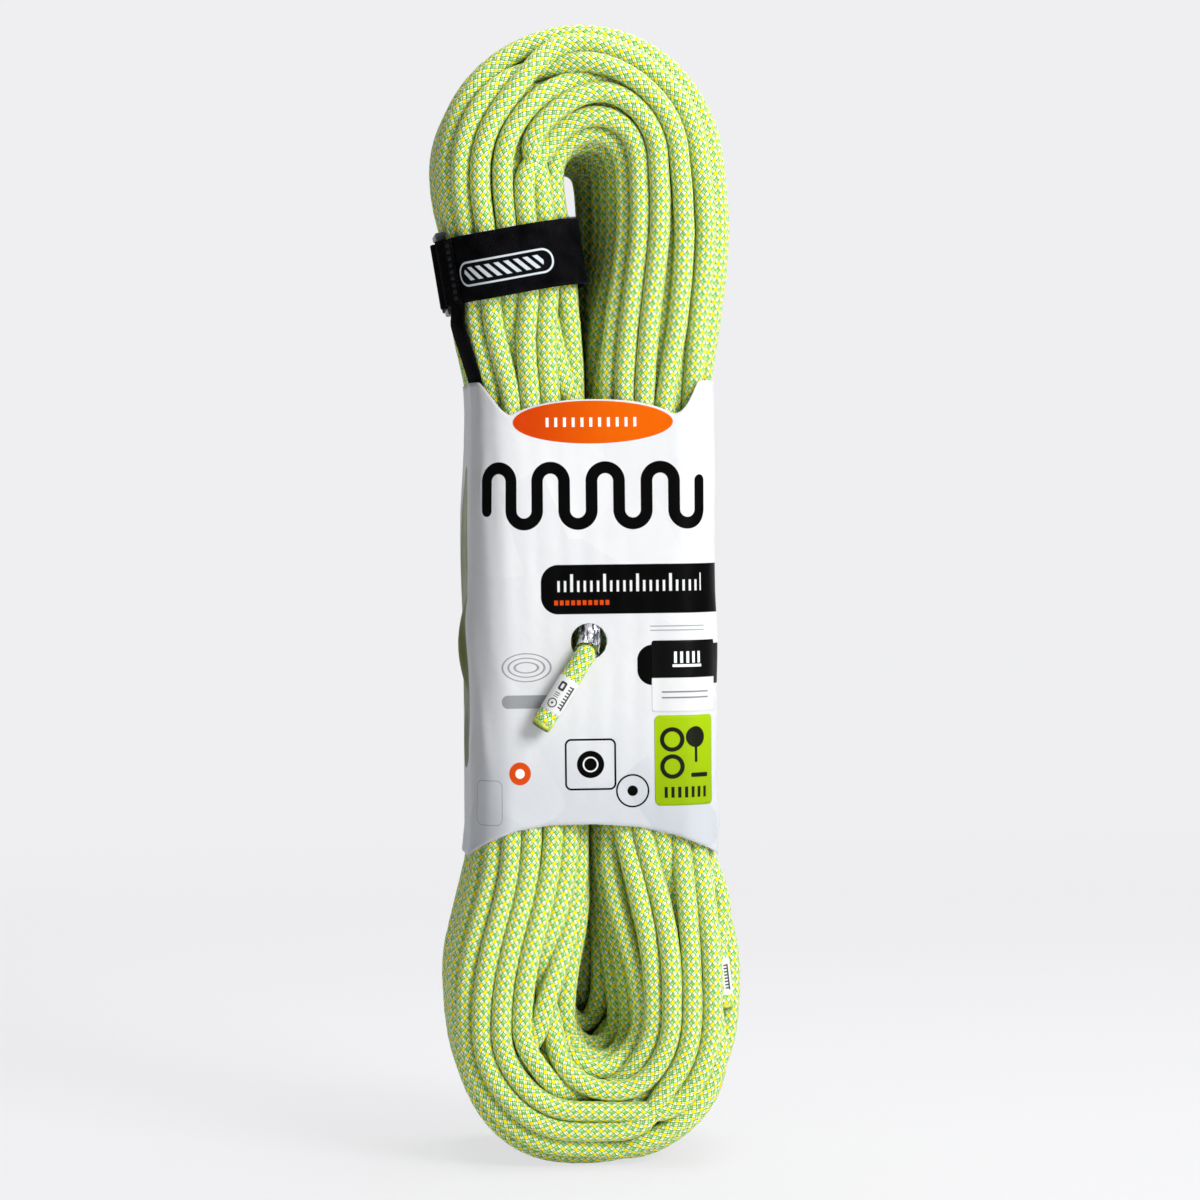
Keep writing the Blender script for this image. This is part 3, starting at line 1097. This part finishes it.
def webbing_finish():
    """Black twill tape: fine slanting ribs, a plain selvedge, and a white printed motif on the front."""
    material, board, shader = finish_board("nylon_webbing", Specular_IOR_Level=0.03)
    place, across, up = sheet_place(board)
    rib = ((across + up) * (math.pi / 0.62)).sine().size()
    pick = ((across - up * 0.5) * (math.pi / 1.1)).sine().size()
    selvedge = board.step(up.size(), 13.2, 13.8)
    cord = (across * (math.pi / 0.7)).sine().size()
    high = (rib * 0.7 + pick * 0.3) * (1 - selvedge) + cord * selvedge
    dust = board.noise(place, 1.7, 4.0)
    wear = board.noise(place, 0.12, 2.0)
    light = board.step(high * (0.3 + dust * 1.1), 0.5, 0.95) * (wear * 2.0 - 0.35).most(0.12)
    colour = board.blend(light, srgb(1, 1, 2), srgb(34, 34, 38))
    ink = Print(board, across, up, 0.12)
    middle, wide = -2.6, 5.2
    slant = (((across + up * 0.9 - PRINT_FROM) / 4.4).fract() - 0.5).size() * 4.4 - 1.15
    stripes = ink.inked(slant.most(ink.from_plate(PRINT_FROM + 3, PRINT_TO - 4.4, middle - 3, middle + 3, 2.6)))
    motif = many(stripes, ink.frame(PRINT_FROM, PRINT_TO, middle - wide, middle + wide, 5.0, 0.9))
    worn = 1 - board.step(dust * (1.25 - high * 0.5), 0.72, 0.95)
    colour = board.blend(motif * worn, colour, srgb(206, 213, 218))
    feed(board, shader, Base_Color=colour, Roughness=0.78 - light * 0.12, Normal=bumped(board, high, 0.00012, 0.7))
    return material


WEBBING = webbing_finish()
strap_points = even(strap_line(), 1.6)
strap_far = np.linspace(0, lengths(strap_line())[-1], len(strap_points))
strap_points = softened(strap_points, 1)
ahead = np.gradient(strap_points, axis=0)
ahead /= np.linalg.norm(ahead, axis=1)[:, None]
front_middle = int(np.argmin(np.where(strap_points[:, 1] < -50, np.abs(strap_points[:, 0]), 99)))
strap_along = strap_far - strap_far[front_middle]
normal = np.stack([ahead[:, 1], -ahead[:, 0]], -1)           # away from the leg on the way round it
ripple = 0.10 * np.sin(strap_along[:, None] / 6.1 + TAPE_ACROSS / 9) * np.exp(-((strap_along[:, None] - 5) / 45) ** 2)
sideways = TAPE_ACROSS + 0.18 * np.sin(strap_along[:, None] / 8.3)
strap_x, strap_y = (strap_points[:, [k]] + normal[:, [k]] * ripple for k in (0, 1))
strap_middle = STRAP_HOME + strap_way(strap_x, strap_y, sideways)
strap_out = strap_way(normal[:, :1] + 0 * ripple, normal[:, 1:] + 0 * ripple, 0 * ripple)
strap = band("strap", strap_middle, strap_out, strap_along, TAPE_ACROSS, TAPE_THICK, WEBBING)
print("strap:", round(float(strap_far[-1])), "mm of tape,", len(strap.data.polygons), "faces")
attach(strap, "hank")
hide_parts("strap_webbing")

# %% The strap's loose tail
# Its two edges, as shares of the way round the left leg, at the top and at the bottom.
TAIL_LEFT, TAIL_RIGHT = (0.126, 0.102), (0.158, 0.160)
TAIL_FROM, TAIL_TO = 399.0, 331.0
tail_z = np.linspace(TAIL_FROM, TAIL_TO, 40)
down = np.linspace(0, 1, 40)[:, None]
tail_share = mix(mix(*TAIL_LEFT, down), mix(*TAIL_RIGHT, down), np.linspace(0, 1, 15))
shape = np.stack(leg(LEFT, tail_z), -1)
tail_wide, tail_deep = (shape[:, 0] - shape[:, 2])[:, None] + 1.7, 2 * shape[:, 4][:, None] + 1.7
tail_lane = np.array([rounded_lane(row, w, d, LEG_CORNER + 0.85)
                      for row, w, d in zip(tail_share, tail_wide[:, 0], tail_deep[:, 0])])
tail_middle = np.empty(tail_lane.shape[:2] + (3,))
tail_middle[..., 0] = ((shape[:, 0] + shape[:, 2]) / 2)[:, None] - tail_lane[..., 0]
tail_middle[..., 1], tail_middle[..., 2] = tail_lane[..., 1], tail_z[:, None]
tail_out = np.cross(np.gradient(tail_middle, axis=1), np.gradient(tail_middle, axis=0))
tail_out /= np.linalg.norm(tail_out, axis=-1, keepdims=True)
tail_out *= np.sign(-tail_out[..., 1:2].mean())              # the tail lies at the front left corner
tape_half = np.linalg.norm(np.diff(tail_middle[0], axis=0), axis=1).sum() / 2
strap_tail = band("strap_loose_tail", tail_middle, tail_out, 300 + (TAIL_FROM - tail_z),
                  np.linspace(-tape_half, tape_half, 15), 1.2, WEBBING)
print("loose tail:", round(2 * tape_half, 1), "mm wide")
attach(strap_tail, "hank")
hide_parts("strap_tail")

# %% [markdown]
# ## Stitches and loose fibres
# Where the tape is sewn round the buckle's bar, thread shows as short raised dashes, and the tape's
# edge is a little frayed where it rubs. Both repeat along a line, so Geometry Nodes place them: each
# stitch is one small ellipsoid on a point, and each fibre is a thin three-sided spike that is turned
# and stretched by seeded random values.

# %% Stitches
def stitch_tree(material):
    board, given, keys = geometry_board("stitches", ("Length", "Float"), ("Thread", "Float"), ("Tilt", "Float"))
    bead = board.node("GeometryNodeMeshIcoSphere", None, {"Radius": 0.5, "Subdivisions": 2})[0]
    size = board.node("ShaderNodeCombineXYZ", None, {0: given["Thread"], 1: given["Thread"], 2: given["Length"]})[0]
    turned = board.node("ShaderNodeCombineXYZ", None, {0: 0.0, 1: given["Tilt"], 2: 0.0})[0]
    many_beads = board.node("GeometryNodeInstanceOnPoints", None,
                            {0: given["Geometry"], "Instance": bead, "Rotation": turned, "Scale": size})[0]
    finish_geometry(board, many_beads, material)
    return board, keys


def thread_finish():
    material, board, shader = finish_board("sewing_thread", Specular_IOR_Level=0.3)
    place = board.node("ShaderNodeTexCoord")["Object"]
    split = board.node("ShaderNodeSeparateXYZ", None, {0: place})
    twist = ((split["Z"] + split["Y"] * 0.8) * (math.pi / 0.00045)).sine().size()
    colour = board.blend(twist, srgb(12, 12, 14), srgb(46, 46, 50))
    feed(board, shader, Base_Color=colour, Roughness=0.6 - twist * 0.15, Normal=bumped(board, twist, 0.00004, 0.6))
    return material


THREAD = thread_finish()
stitch_spots = []
for angle in (197.5, 200.5, 203.5):
    radial = np.array([math.cos(math.radians(angle)), math.sin(math.radians(angle))])
    spot = -CORNER_AT + radial * (CORNER_BEND + 1.5 * TAPE_THICK + 0.05)
    stitch_spots += [STRAP_HOME + strap_way(*np.array([*spot, w])) for w in np.arange(-12, 12.1, 3)]
stitch_board, stitch_keys = stitch_tree(THREAD)
spots_mesh = bpy.data.meshes.new("stitches")
spots_mesh.from_pydata([tuple(p * MM) for p in stitch_spots], [], [])
stitches = grown(bpy.data.objects.new("stitches", spots_mesh), stitch_board, stitch_keys,
                 Length=2.1 * MM, Thread=0.55 * MM, Tilt=STRAP_TILT)
stitches.data.shade_smooth()
print(len(stitch_spots), "stitches,", len(stitches.data.polygons), "faces")
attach(stitches, "hank")
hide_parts("strap_stitching")

# %% Frayed edge
def fibre_tree(material):
    board, given, keys = geometry_board("fibres", ("Count", "Int"), ("Length", "Float"), ("Thread", "Float"),
                                        ("Seed", "Int"))
    line = board.node("GeometryNodeMeshToCurve", None, {0: given["Geometry"]})[0]
    spots = board.node("GeometryNodeCurveToPoints", {"mode": "COUNT"}, {0: line, "Count": given["Count"]})[0]
    spike = board.node("GeometryNodeMeshCone", {"fill_type": "NONE"},
                       {"Vertices": 3, "Radius Top": 0.0, "Radius Bottom": given["Thread"],
                        "Depth": given["Length"]})[0]
    turned = board.node("FunctionNodeRandomValue", {"data_type": "FLOAT_VECTOR"},
                        {0: (-1.0, -1.1, -3.1), 1: (1.0, 1.1, 3.1), "Seed": given["Seed"]})[0]
    size = board.node("FunctionNodeRandomValue", {"data_type": "FLOAT_VECTOR"},
                      {0: (0.8, 0.8, 0.3), 1: (1.2, 1.2, 1.0), "Seed": given["Seed"] + 1})[0]
    spikes = board.node("GeometryNodeInstanceOnPoints", None,
                        {0: spots, "Instance": spike, "Rotation": turned, "Scale": size})[0]
    finish_geometry(board, spikes, material)
    return board, keys


fibre_board, fibre_keys = fibre_tree(THREAD)
rubbed = (strap_along > 20) & (strap_along < 62)
top_edge, low_edge = (strap_middle[rubbed, k] + strap_out[rubbed, k] * 0.2 for k in (-1, 0))
for name, line, count, seed in [("upper_fibres", top_edge, 260, 3), ("lower_fibres", low_edge, 110, 8)]:
    fibres = grown(line_mesh(name, line, np.zeros(len(line))), fibre_board, fibre_keys,
                   Count=count, Length=1.9 * MM, Thread=0.11 * MM, Seed=seed)
    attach(fibres, "hank")
    print(name, len(fibres.data.polygons), "faces")

# %% [markdown]
# ## The two ends of the rope
# A cut rope would fray, so its maker melts each end into a hard button and shrinks a printed sleeve
# over the sheath behind it. The free end comes out of the label's hole, and it can be lifted, so it
# is a piece of its own that turns about a point in the hole. All of these are turned shapes. One
# helper spins a profile round a line. It leaves a seam at the back in the flat coordinates, so that
# a pattern can go round without a smear.

# %% Turned shapes
def turned(name, centre, way, profile, material, closed=False, sides=36, wobble=None):
    """Spin (how far along, radius) points round a line, or round one middle and way each; radii of 0 become poles."""
    profile = np.array(profile, float)
    if np.ndim(centre) == 1:
        centre, way = centre + profile[:, :1] * way, np.repeat([way], len(profile), axis=0)
    front = np.array([0, -1, 0]) + way * way[:, 1:2]
    front /= np.linalg.norm(front, axis=1)[:, None]
    beside = np.cross(way, front)
    angle = np.linspace(-math.pi, math.pi, sides + 1)[:-1]
    spin = np.cos(angle)[:, None] * front[:, None] + np.sin(angle)[:, None] * beside[:, None]
    radius = profile[:, 1][:, None] * (1 + (wobble(profile[:, 0][:, None], angle[None]) if wobble else 0 * angle[None]))
    points = centre[:, None] + radius[..., None] * spin
    index = np.arange(points.shape[0] * sides).reshape(-1, sides)
    rows = list(range(len(profile) - 1)) + ([len(profile) - 1] if closed else [])
    shape = bmesh.new()
    corners = [shape.verts.new(tuple(p)) for p in points.reshape(-1, 3) * MM]
    braid = shape.loops.layers.uv.new("braid")
    flat = shape.loops.layers.uv.new("flat")
    for row in rows:
        after = (row + 1) % len(profile)
        for k in range(sides):
            spots = [(row, k), (row, k + 1), (after, k + 1), (after, k)]
            face = shape.faces.new([corners[index[r, c % sides]] for r, c in spots])
            face.smooth = True
            for loop, (r, c) in zip(face.loops, spots):
                loop[braid].uv = (c / sides, profile[r, 0] * MM)
                loop[flat].uv = ((c / sides - 0.5) * 2 * math.pi * profile[:, 1].max(), profile[r, 0])
    bmesh.ops.remove_doubles(shape, verts=shape.verts, dist=1e-7)
    bmesh.ops.recalc_face_normals(shape, faces=shape.faces)
    mesh = bpy.data.meshes.new(name)
    shape.to_mesh(mesh)
    shape.free()
    mesh.materials.append(material)
    piece = bpy.data.objects.new(name, mesh)
    bpy.context.scene.collection.objects.link(piece)
    return piece


# %% Finishes of the ends
def sleeve_finish():
    """White shrink film with plain marks: a ring with a dot, and two rows of bars."""
    material, board, shader = finish_board("marker_sleeve", Roughness=0.3, Specular_IOR_Level=0.4, Coat_Roughness=0.15)
    place, across, up = sheet_place(board)
    ink = Print(board, across, up, 0.1)
    marks = many(ink.ring(1.9, 26.2, 2.0, 0.55), ink.disc(1.9, 26.2, 0.55), ink.bars(-4.6, -3.0, 15.6, 27.6, 2.0, 1.0),
                 ink.lines(-3.4, -1.4, 15.4, 27.4, 1.5, 0.7),
                 ink.plate(0.2, 3.4, 15.2, 19.6, 0.8) * (1 - ink.plate(1.2, 2.4, 16.2, 18.6, 0.4)),
                 ink.lines(0.8, 3.2, 20.6, 23.2, 1.0, 0.4))
    film = board.noise(place, 0.5, 3.0)
    colour = board.blend(film, srgb(214, 214, 213), srgb(226, 226, 225))
    colour = board.blend(marks, colour, srgb(52, 54, 60))
    feed(board, shader, Base_Color=colour, Roughness=0.26 + film * 0.12, Normal=bumped(board, film, 0.00012, 0.5))
    return material


def melted_finish():
    """Sheath and core run together: the yarns' colours smeared, and a dark glossy rim at the very end."""
    material, board, shader = finish_board("melted_nylon", Specular_IOR_Level=0.5)
    place, across, up = sheet_place(board)
    smear = board.noise(place, 0.55, 3.0)
    fine = board.noise(place, 2.4, 2.0)
    colour = board.blend(board.step(smear, 0.42, 0.6), srgb(122, 178, 60), srgb(224, 204, 30))
    colour = board.blend(board.step(fine, 0.55, 0.72), colour, srgb(214, 230, 170))
    rim = board.step(up + smear * 1.6, 1.9, 3.4)
    colour = board.blend(rim, colour, srgb(72, 84, 12))
    feed(board, shader, Base_Color=colour, Roughness=0.42 - rim * 0.18,
         Normal=bumped(board, smear + fine * 0.3, 0.0003, 0.6))
    return material


SLEEVE, MELTED = sleeve_finish(), melted_finish()


def melt_lumps(along, angle):
    return 0.028 * np.sin(2 * angle + 0.9) + 0.02 * np.sin(5 * angle + along) + 0.018 * np.sin(3 * angle - 2 * along)


# %% The ends in place
FREE_WAY, FREE_LONG = unit([-0.540514, -0.0300285, -0.840799]), 36.0
SLEEVE_LONG, SLEEVE_INSIDE, SLEEVE_OUTSIDE = 17.0, 4.72, 4.98
ball = [(-HALF_ROPE * math.cos(a), HALF_ROPE * math.sin(a)) for a in np.linspace(0, math.pi / 2, 10)]
sheath_line = ball + [(far, HALF_ROPE) for far in np.linspace(1, FREE_LONG, 24)] + [(FREE_LONG, 0)]
tip_line = [(0, 0), (0, 4.66), (0.7, 4.7), (1.5, 4.66), (2.1, 4.5), (2.55, 4.15), (2.85, 3.5),
            (3.0, 2.6), (2.86, 1.4), (2.9, 0)]


def sleeve_line(first):
    last = first + SLEEVE_LONG
    return [(first, SLEEVE_INSIDE - 0.04), (first + 0.05, SLEEVE_OUTSIDE - 0.08), (first + 0.3, SLEEVE_OUTSIDE),
            (last - 0.3, SLEEVE_OUTSIDE), (last - 0.05, SLEEVE_OUTSIDE - 0.08), (last, SLEEVE_INSIDE - 0.04)]


TAIL_ORIGIN = TAIL_START + TAIL_WAY * (10 - 13)              # so that both sleeves start 13 mm along their line
for name, start, way, profile, finish, closed, wobble, body, node, slot in [
    ("free_end_rope", PIVOT, FREE_WAY, sheath_line, BRAID, False, None, "free_end", "free_end_sheath", "rope_sheath"),
    ("free_end_sleeve", PIVOT, FREE_WAY, sleeve_line(13), SLEEVE, True, None, "free_end", "free_end_marker",
     "marker_film"),
    ("free_end_melted_tip", PIVOT + FREE_WAY * FREE_LONG, FREE_WAY, tip_line, MELTED, False, melt_lumps, "free_end",
     "free_end_fused_tip", "fused_nylon"),
    ("tail_end_sleeve", TAIL_ORIGIN, TAIL_WAY, sleeve_line(13), SLEEVE, True, None, "hank", "tail_end_marker",
     "marker_film"),
    ("tail_end_melted_tip", TAIL_START + TAIL_WAY * TAIL_LONG, TAIL_WAY, tip_line, MELTED, False, melt_lumps, "hank",
     "tail_end_fused_tip", "fused_nylon"),
]:
    piece = turned(name, start, way, profile, finish, closed=closed, wobble=wobble)
    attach(piece, body)
    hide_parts(node)
    print(name, len(piece.data.polygons), "faces")

# %% [markdown]
# ## The clear band
# A strip of clear film holds the rope where it passes the hole. It is a stiff, shiny sleeve with
# crinkles, so it catches hard highlights. It is turned like the sleeves, and its crinkles are real
# dents in the mesh. Film this thin is mostly its reflections, so it is nearly clear and very smooth.

# %% Clear band
def clear_finish():
    material, board, shader = finish_board("clear_film", Roughness=0.08, Specular_IOR_Level=0.9, Coat_Weight=1.0,
                                           Coat_Roughness=0.05)
    place, across, up = sheet_place(board)
    long = board.node("ShaderNodeCombineXYZ", None, {0: across, 1: up * 0.16})[0]
    crinkle = board.noise(long, 0.5, 3.0)
    streak = board.step(crinkle, 0.45, 0.58)
    feed(board, shader, Base_Color=board.blend(streak, srgb(92, 96, 104), srgb(240, 242, 246)),
         Metallic=0.75 - streak * 0.35, Alpha=0.8 + streak * 0.18, Normal=bumped(board, crinkle, 0.0012, 0.9))
    return material


def crinkles(along, angle):
    return (0.026 * np.sin(5 * angle + 0.35 * along) + 0.018 * np.sin(9 * angle - 0.5 * along)
            + 0.01 * np.sin(4 * angle + 1.3 * along))


BAND_LONG = 12.5
band_line = [(-1.5, HALF_ROPE + 0.45), (-1.5, HALF_ROPE + 0.8)]
band_line += [(far, HALF_ROPE + 0.6) for far in np.linspace(-0.8, BAND_LONG, 20)]
band_line += [(BAND_LONG, HALF_ROPE + 0.2), (BAND_LONG / 2, HALF_ROPE + 0.2)]
band_far = np.array(band_line)[:, 0]
start_line = even(route[:12], 0.5)
start_way = unit(start_line[2] - start_line[0])
before = np.minimum(band_far, 0)[:, None] * start_way
band_middle = read_off(band_far, lengths(start_line), start_line) + before
band_way = read_off(band_far, lengths(start_line), np.gradient(start_line, axis=0))
band_way /= np.linalg.norm(band_way, axis=1)[:, None]
clear_band = turned("clear_band", band_middle, band_way, band_line, clear_finish(), closed=True, sides=72,
                    wobble=crinkles)
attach(clear_band, "hank")
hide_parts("clear_band")

# %% [markdown]
# ## Pieces kept from the CAD model
# The buckle, the hook and loop patches, the core yarns and the glue strip are simple, exact shapes
# already, so they keep their CAD meshes. Each gets a finish of its own: moulded plastic has a faint
# grain and worn edges, hook and loop tape is a field of small dots, core yarns are pale twisted
# nylon, and hot glue is amber with bubbles.

# %% Finishes for those pieces
def object_place(board):
    place = board.node("ShaderNodeTexCoord")["Object"]
    split = board.node("ShaderNodeSeparateXYZ", None, {0: place})
    return place, split["X"] / MM, split["Y"] / MM, split["Z"] / MM


def buckle_finish():
    material, board, shader = finish_board("moulded_acetal", Specular_IOR_Level=0.4)
    place, x, y, z = object_place(board)
    grain = board.noise(place, 2200.0, 3.0, "3D")
    scuff = board.noise(place, 260.0, 4.0, "3D")
    worn = board.step(board.node("ShaderNodeNewGeometry")["Pointiness"] + scuff * 0.06, 0.55, 0.66)
    colour = board.blend(grain, srgb(24, 24, 27), srgb(34, 34, 38))
    colour = board.blend(worn * 0.5, colour, srgb(104, 106, 112))
    feed(board, shader, Base_Color=colour, Roughness=0.34 + scuff * 0.2,
         Normal=bumped(board, grain + scuff * 0.5, 0.00008, 0.5))
    return material


def patch_finish(name, dots, light):
    material, board, shader = finish_board(name, Specular_IOR_Level=0.15, Sheen_Weight=0.1)
    place, x, y, z = object_place(board)
    cell = board.node("ShaderNodeTexVoronoi", None, {"Vector": place, "Scale": dots})[0]
    tuft = 1 - board.step(cell, 0.1, 0.55)
    colour = board.blend(tuft, srgb(6, 6, 7), srgb(light, light, light + 3))
    feed(board, shader, Base_Color=colour, Roughness=0.85 - tuft * 0.15, Normal=bumped(board, tuft, 0.0005, 0.9))
    return material


def core_finish():
    material, board, shader = finish_board("core_yarn_nylon", Specular_IOR_Level=0.25, Sheen_Weight=0.1)
    place, x, y, z = object_place(board)
    wool = board.noise(place, 900.0, 3.0, "3D")
    ply = ((z + x * 1.4 + wool * 0.5) * (math.pi / 1.1)).sine().size()
    colour = board.blend(ply * (0.6 + wool * 0.5), srgb(206, 204, 190), srgb(246, 246, 240))
    feed(board, shader, Base_Color=colour, Roughness=0.62 + wool * 0.15, Normal=bumped(board, ply, 0.0003, 0.7))
    return material


def glue_finish():
    material, board, shader = finish_board("hot_glue", Specular_IOR_Level=0.5, Coat_Weight=0.4, Coat_Roughness=0.2)
    place, x, y, z = object_place(board)
    swirl = board.noise(place, 130.0, 4.0, "3D")
    bubble = board.node("ShaderNodeTexVoronoi", None, {"Vector": place, "Scale": 420.0})[0]
    hole = 1 - board.step(bubble, 0.12, 0.3)
    colour = board.blend(board.step(swirl, 0.35, 0.7), srgb(206, 188, 138), srgb(236, 226, 196))
    colour = board.blend(hole * 0.6, colour, srgb(250, 247, 236))
    feed(board, shader, Base_Color=colour, Roughness=0.28 + swirl * 0.2,
         Normal=bumped(board, swirl - hole * 0.4, 0.0006, 0.6))
    return material


CORE = core_finish()
for node, finish in [
    ("strap_buckle", buckle_finish()), ("strap_hook_patch", patch_finish("hook_tape", 900.0, 52)),
    ("strap_loop_patch", patch_finish("loop_tape", 1700.0, 40)), ("free_end_core_yarns", CORE),
    ("tail_end_core_yarns", CORE), ("label_glue_strip", glue_finish()),
]:
    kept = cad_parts[node]
    for slot in kept.material_slots:
        slot.material = finish
    print(node, "keeps its CAD mesh:", len(kept.material_slots), "slot,", finish.name)

# %% [markdown]
# ## Stage and light
# A pale floor rises into a backdrop in one sweep, so no horizon line shows behind the hank. Only the
# camera, gloss and clear film see the paper glow, so it looks white without lighting the rope. From
# the sides and the back the floor ends in an empty, pale sky.

# %% Floor and lights
def stage_floor():
    deep, high, bend, wide = 2.7, 2.6, 0.6, 3.2
    curve = np.linspace(0, math.pi / 2, 17)[1:]
    profile = [(-2.6, 0.0), (deep - bend, 0.0)]
    profile += [(deep - bend + bend * math.sin(a), bend - bend * math.cos(a)) for a in curve] + [(deep, high)]
    points = [(x, y, z) for y, z in profile for x in (-wide, wide)]
    faces = [(2 * i, 2 * i + 1, 2 * i + 3, 2 * i + 2) for i in range(len(profile) - 1)]
    mesh = bpy.data.meshes.new("backdrop")
    mesh.from_pydata(points, [], faces)
    mesh.shade_smooth()
    floor = bpy.data.objects.new("backdrop", mesh)
    bpy.context.scene.collection.objects.link(floor)
    material, board, shader = finish_board("backdrop_paper", Roughness=0.9)
    shader.inputs["Base Color"].default_value = srgb(240, 240, 241)
    depth = board.node("ShaderNodeSeparateXYZ", None, {0: board.node("ShaderNodeTexCoord")["Object"]})["Y"]
    far = board.step(depth, 0.3, 1.8)                        # the paper behind evens out
    rays = board.node("ShaderNodeLightPath")
    seen = rays["Is Camera Ray"].most(rays["Is Glossy Ray"]).most(rays["Is Transmission Ray"])
    glow = board.node("ShaderNodeEmission", None, {"Color": srgb(239, 239, 241), "Strength": 1.0})[0]
    paper = board.node("ShaderNodeMixShader", None,
                       {0: seen * (far * 0.2 + 0.8), 1: Outputs(board, shader)[0], 2: glow})
    board.tree.links.new(paper[0].socket, board.tree.nodes["Material Output"].inputs["Surface"])
    mesh.materials.append(material)
    return floor


stage_floor()


def soft_box(name, place, target, wide, high, watts):
    lamp = bpy.data.lights.new(name, "AREA")
    lamp.shape, lamp.size, lamp.size_y, lamp.energy = "RECTANGLE", wide, high, watts
    box = bpy.data.objects.new(name, lamp)
    bpy.context.scene.collection.objects.link(box)
    way = Vector(target) - Vector(place)
    box.matrix_world = Matrix.Translation(place) @ way.to_track_quat("-Z", "Y").to_matrix().to_4x4()


soft_box("key", (1.25, -1.6, 1.2), (0, 0, 0.25), 1.0, 1.2, 52)
soft_box("fill", (-1.6, -1.2, 0.9), (0, 0, 0.25), 1.2, 1.6, 1.6)
soft_box("top", (0.25, 0.1, 1.8), (0, 0, 0.3), 1.2, 1.2, 26)
world = bpy.data.worlds.new("studio")
world.use_nodes = True
world.node_tree.nodes["Background"].inputs[0].default_value = (0.95, 0.97, 1.0, 1)
sky = Board(world.node_tree)
brightness = sky.node("ShaderNodeLightPath")["Is Camera Ray"] * 0.78 + 0.09     # pale to the camera, dim to the rope
world.node_tree.links.new(brightness.socket, world.node_tree.nodes["Background"].inputs[1])
bpy.context.scene.world = world
bpy.context.scene.view_settings.view_transform = "Standard"
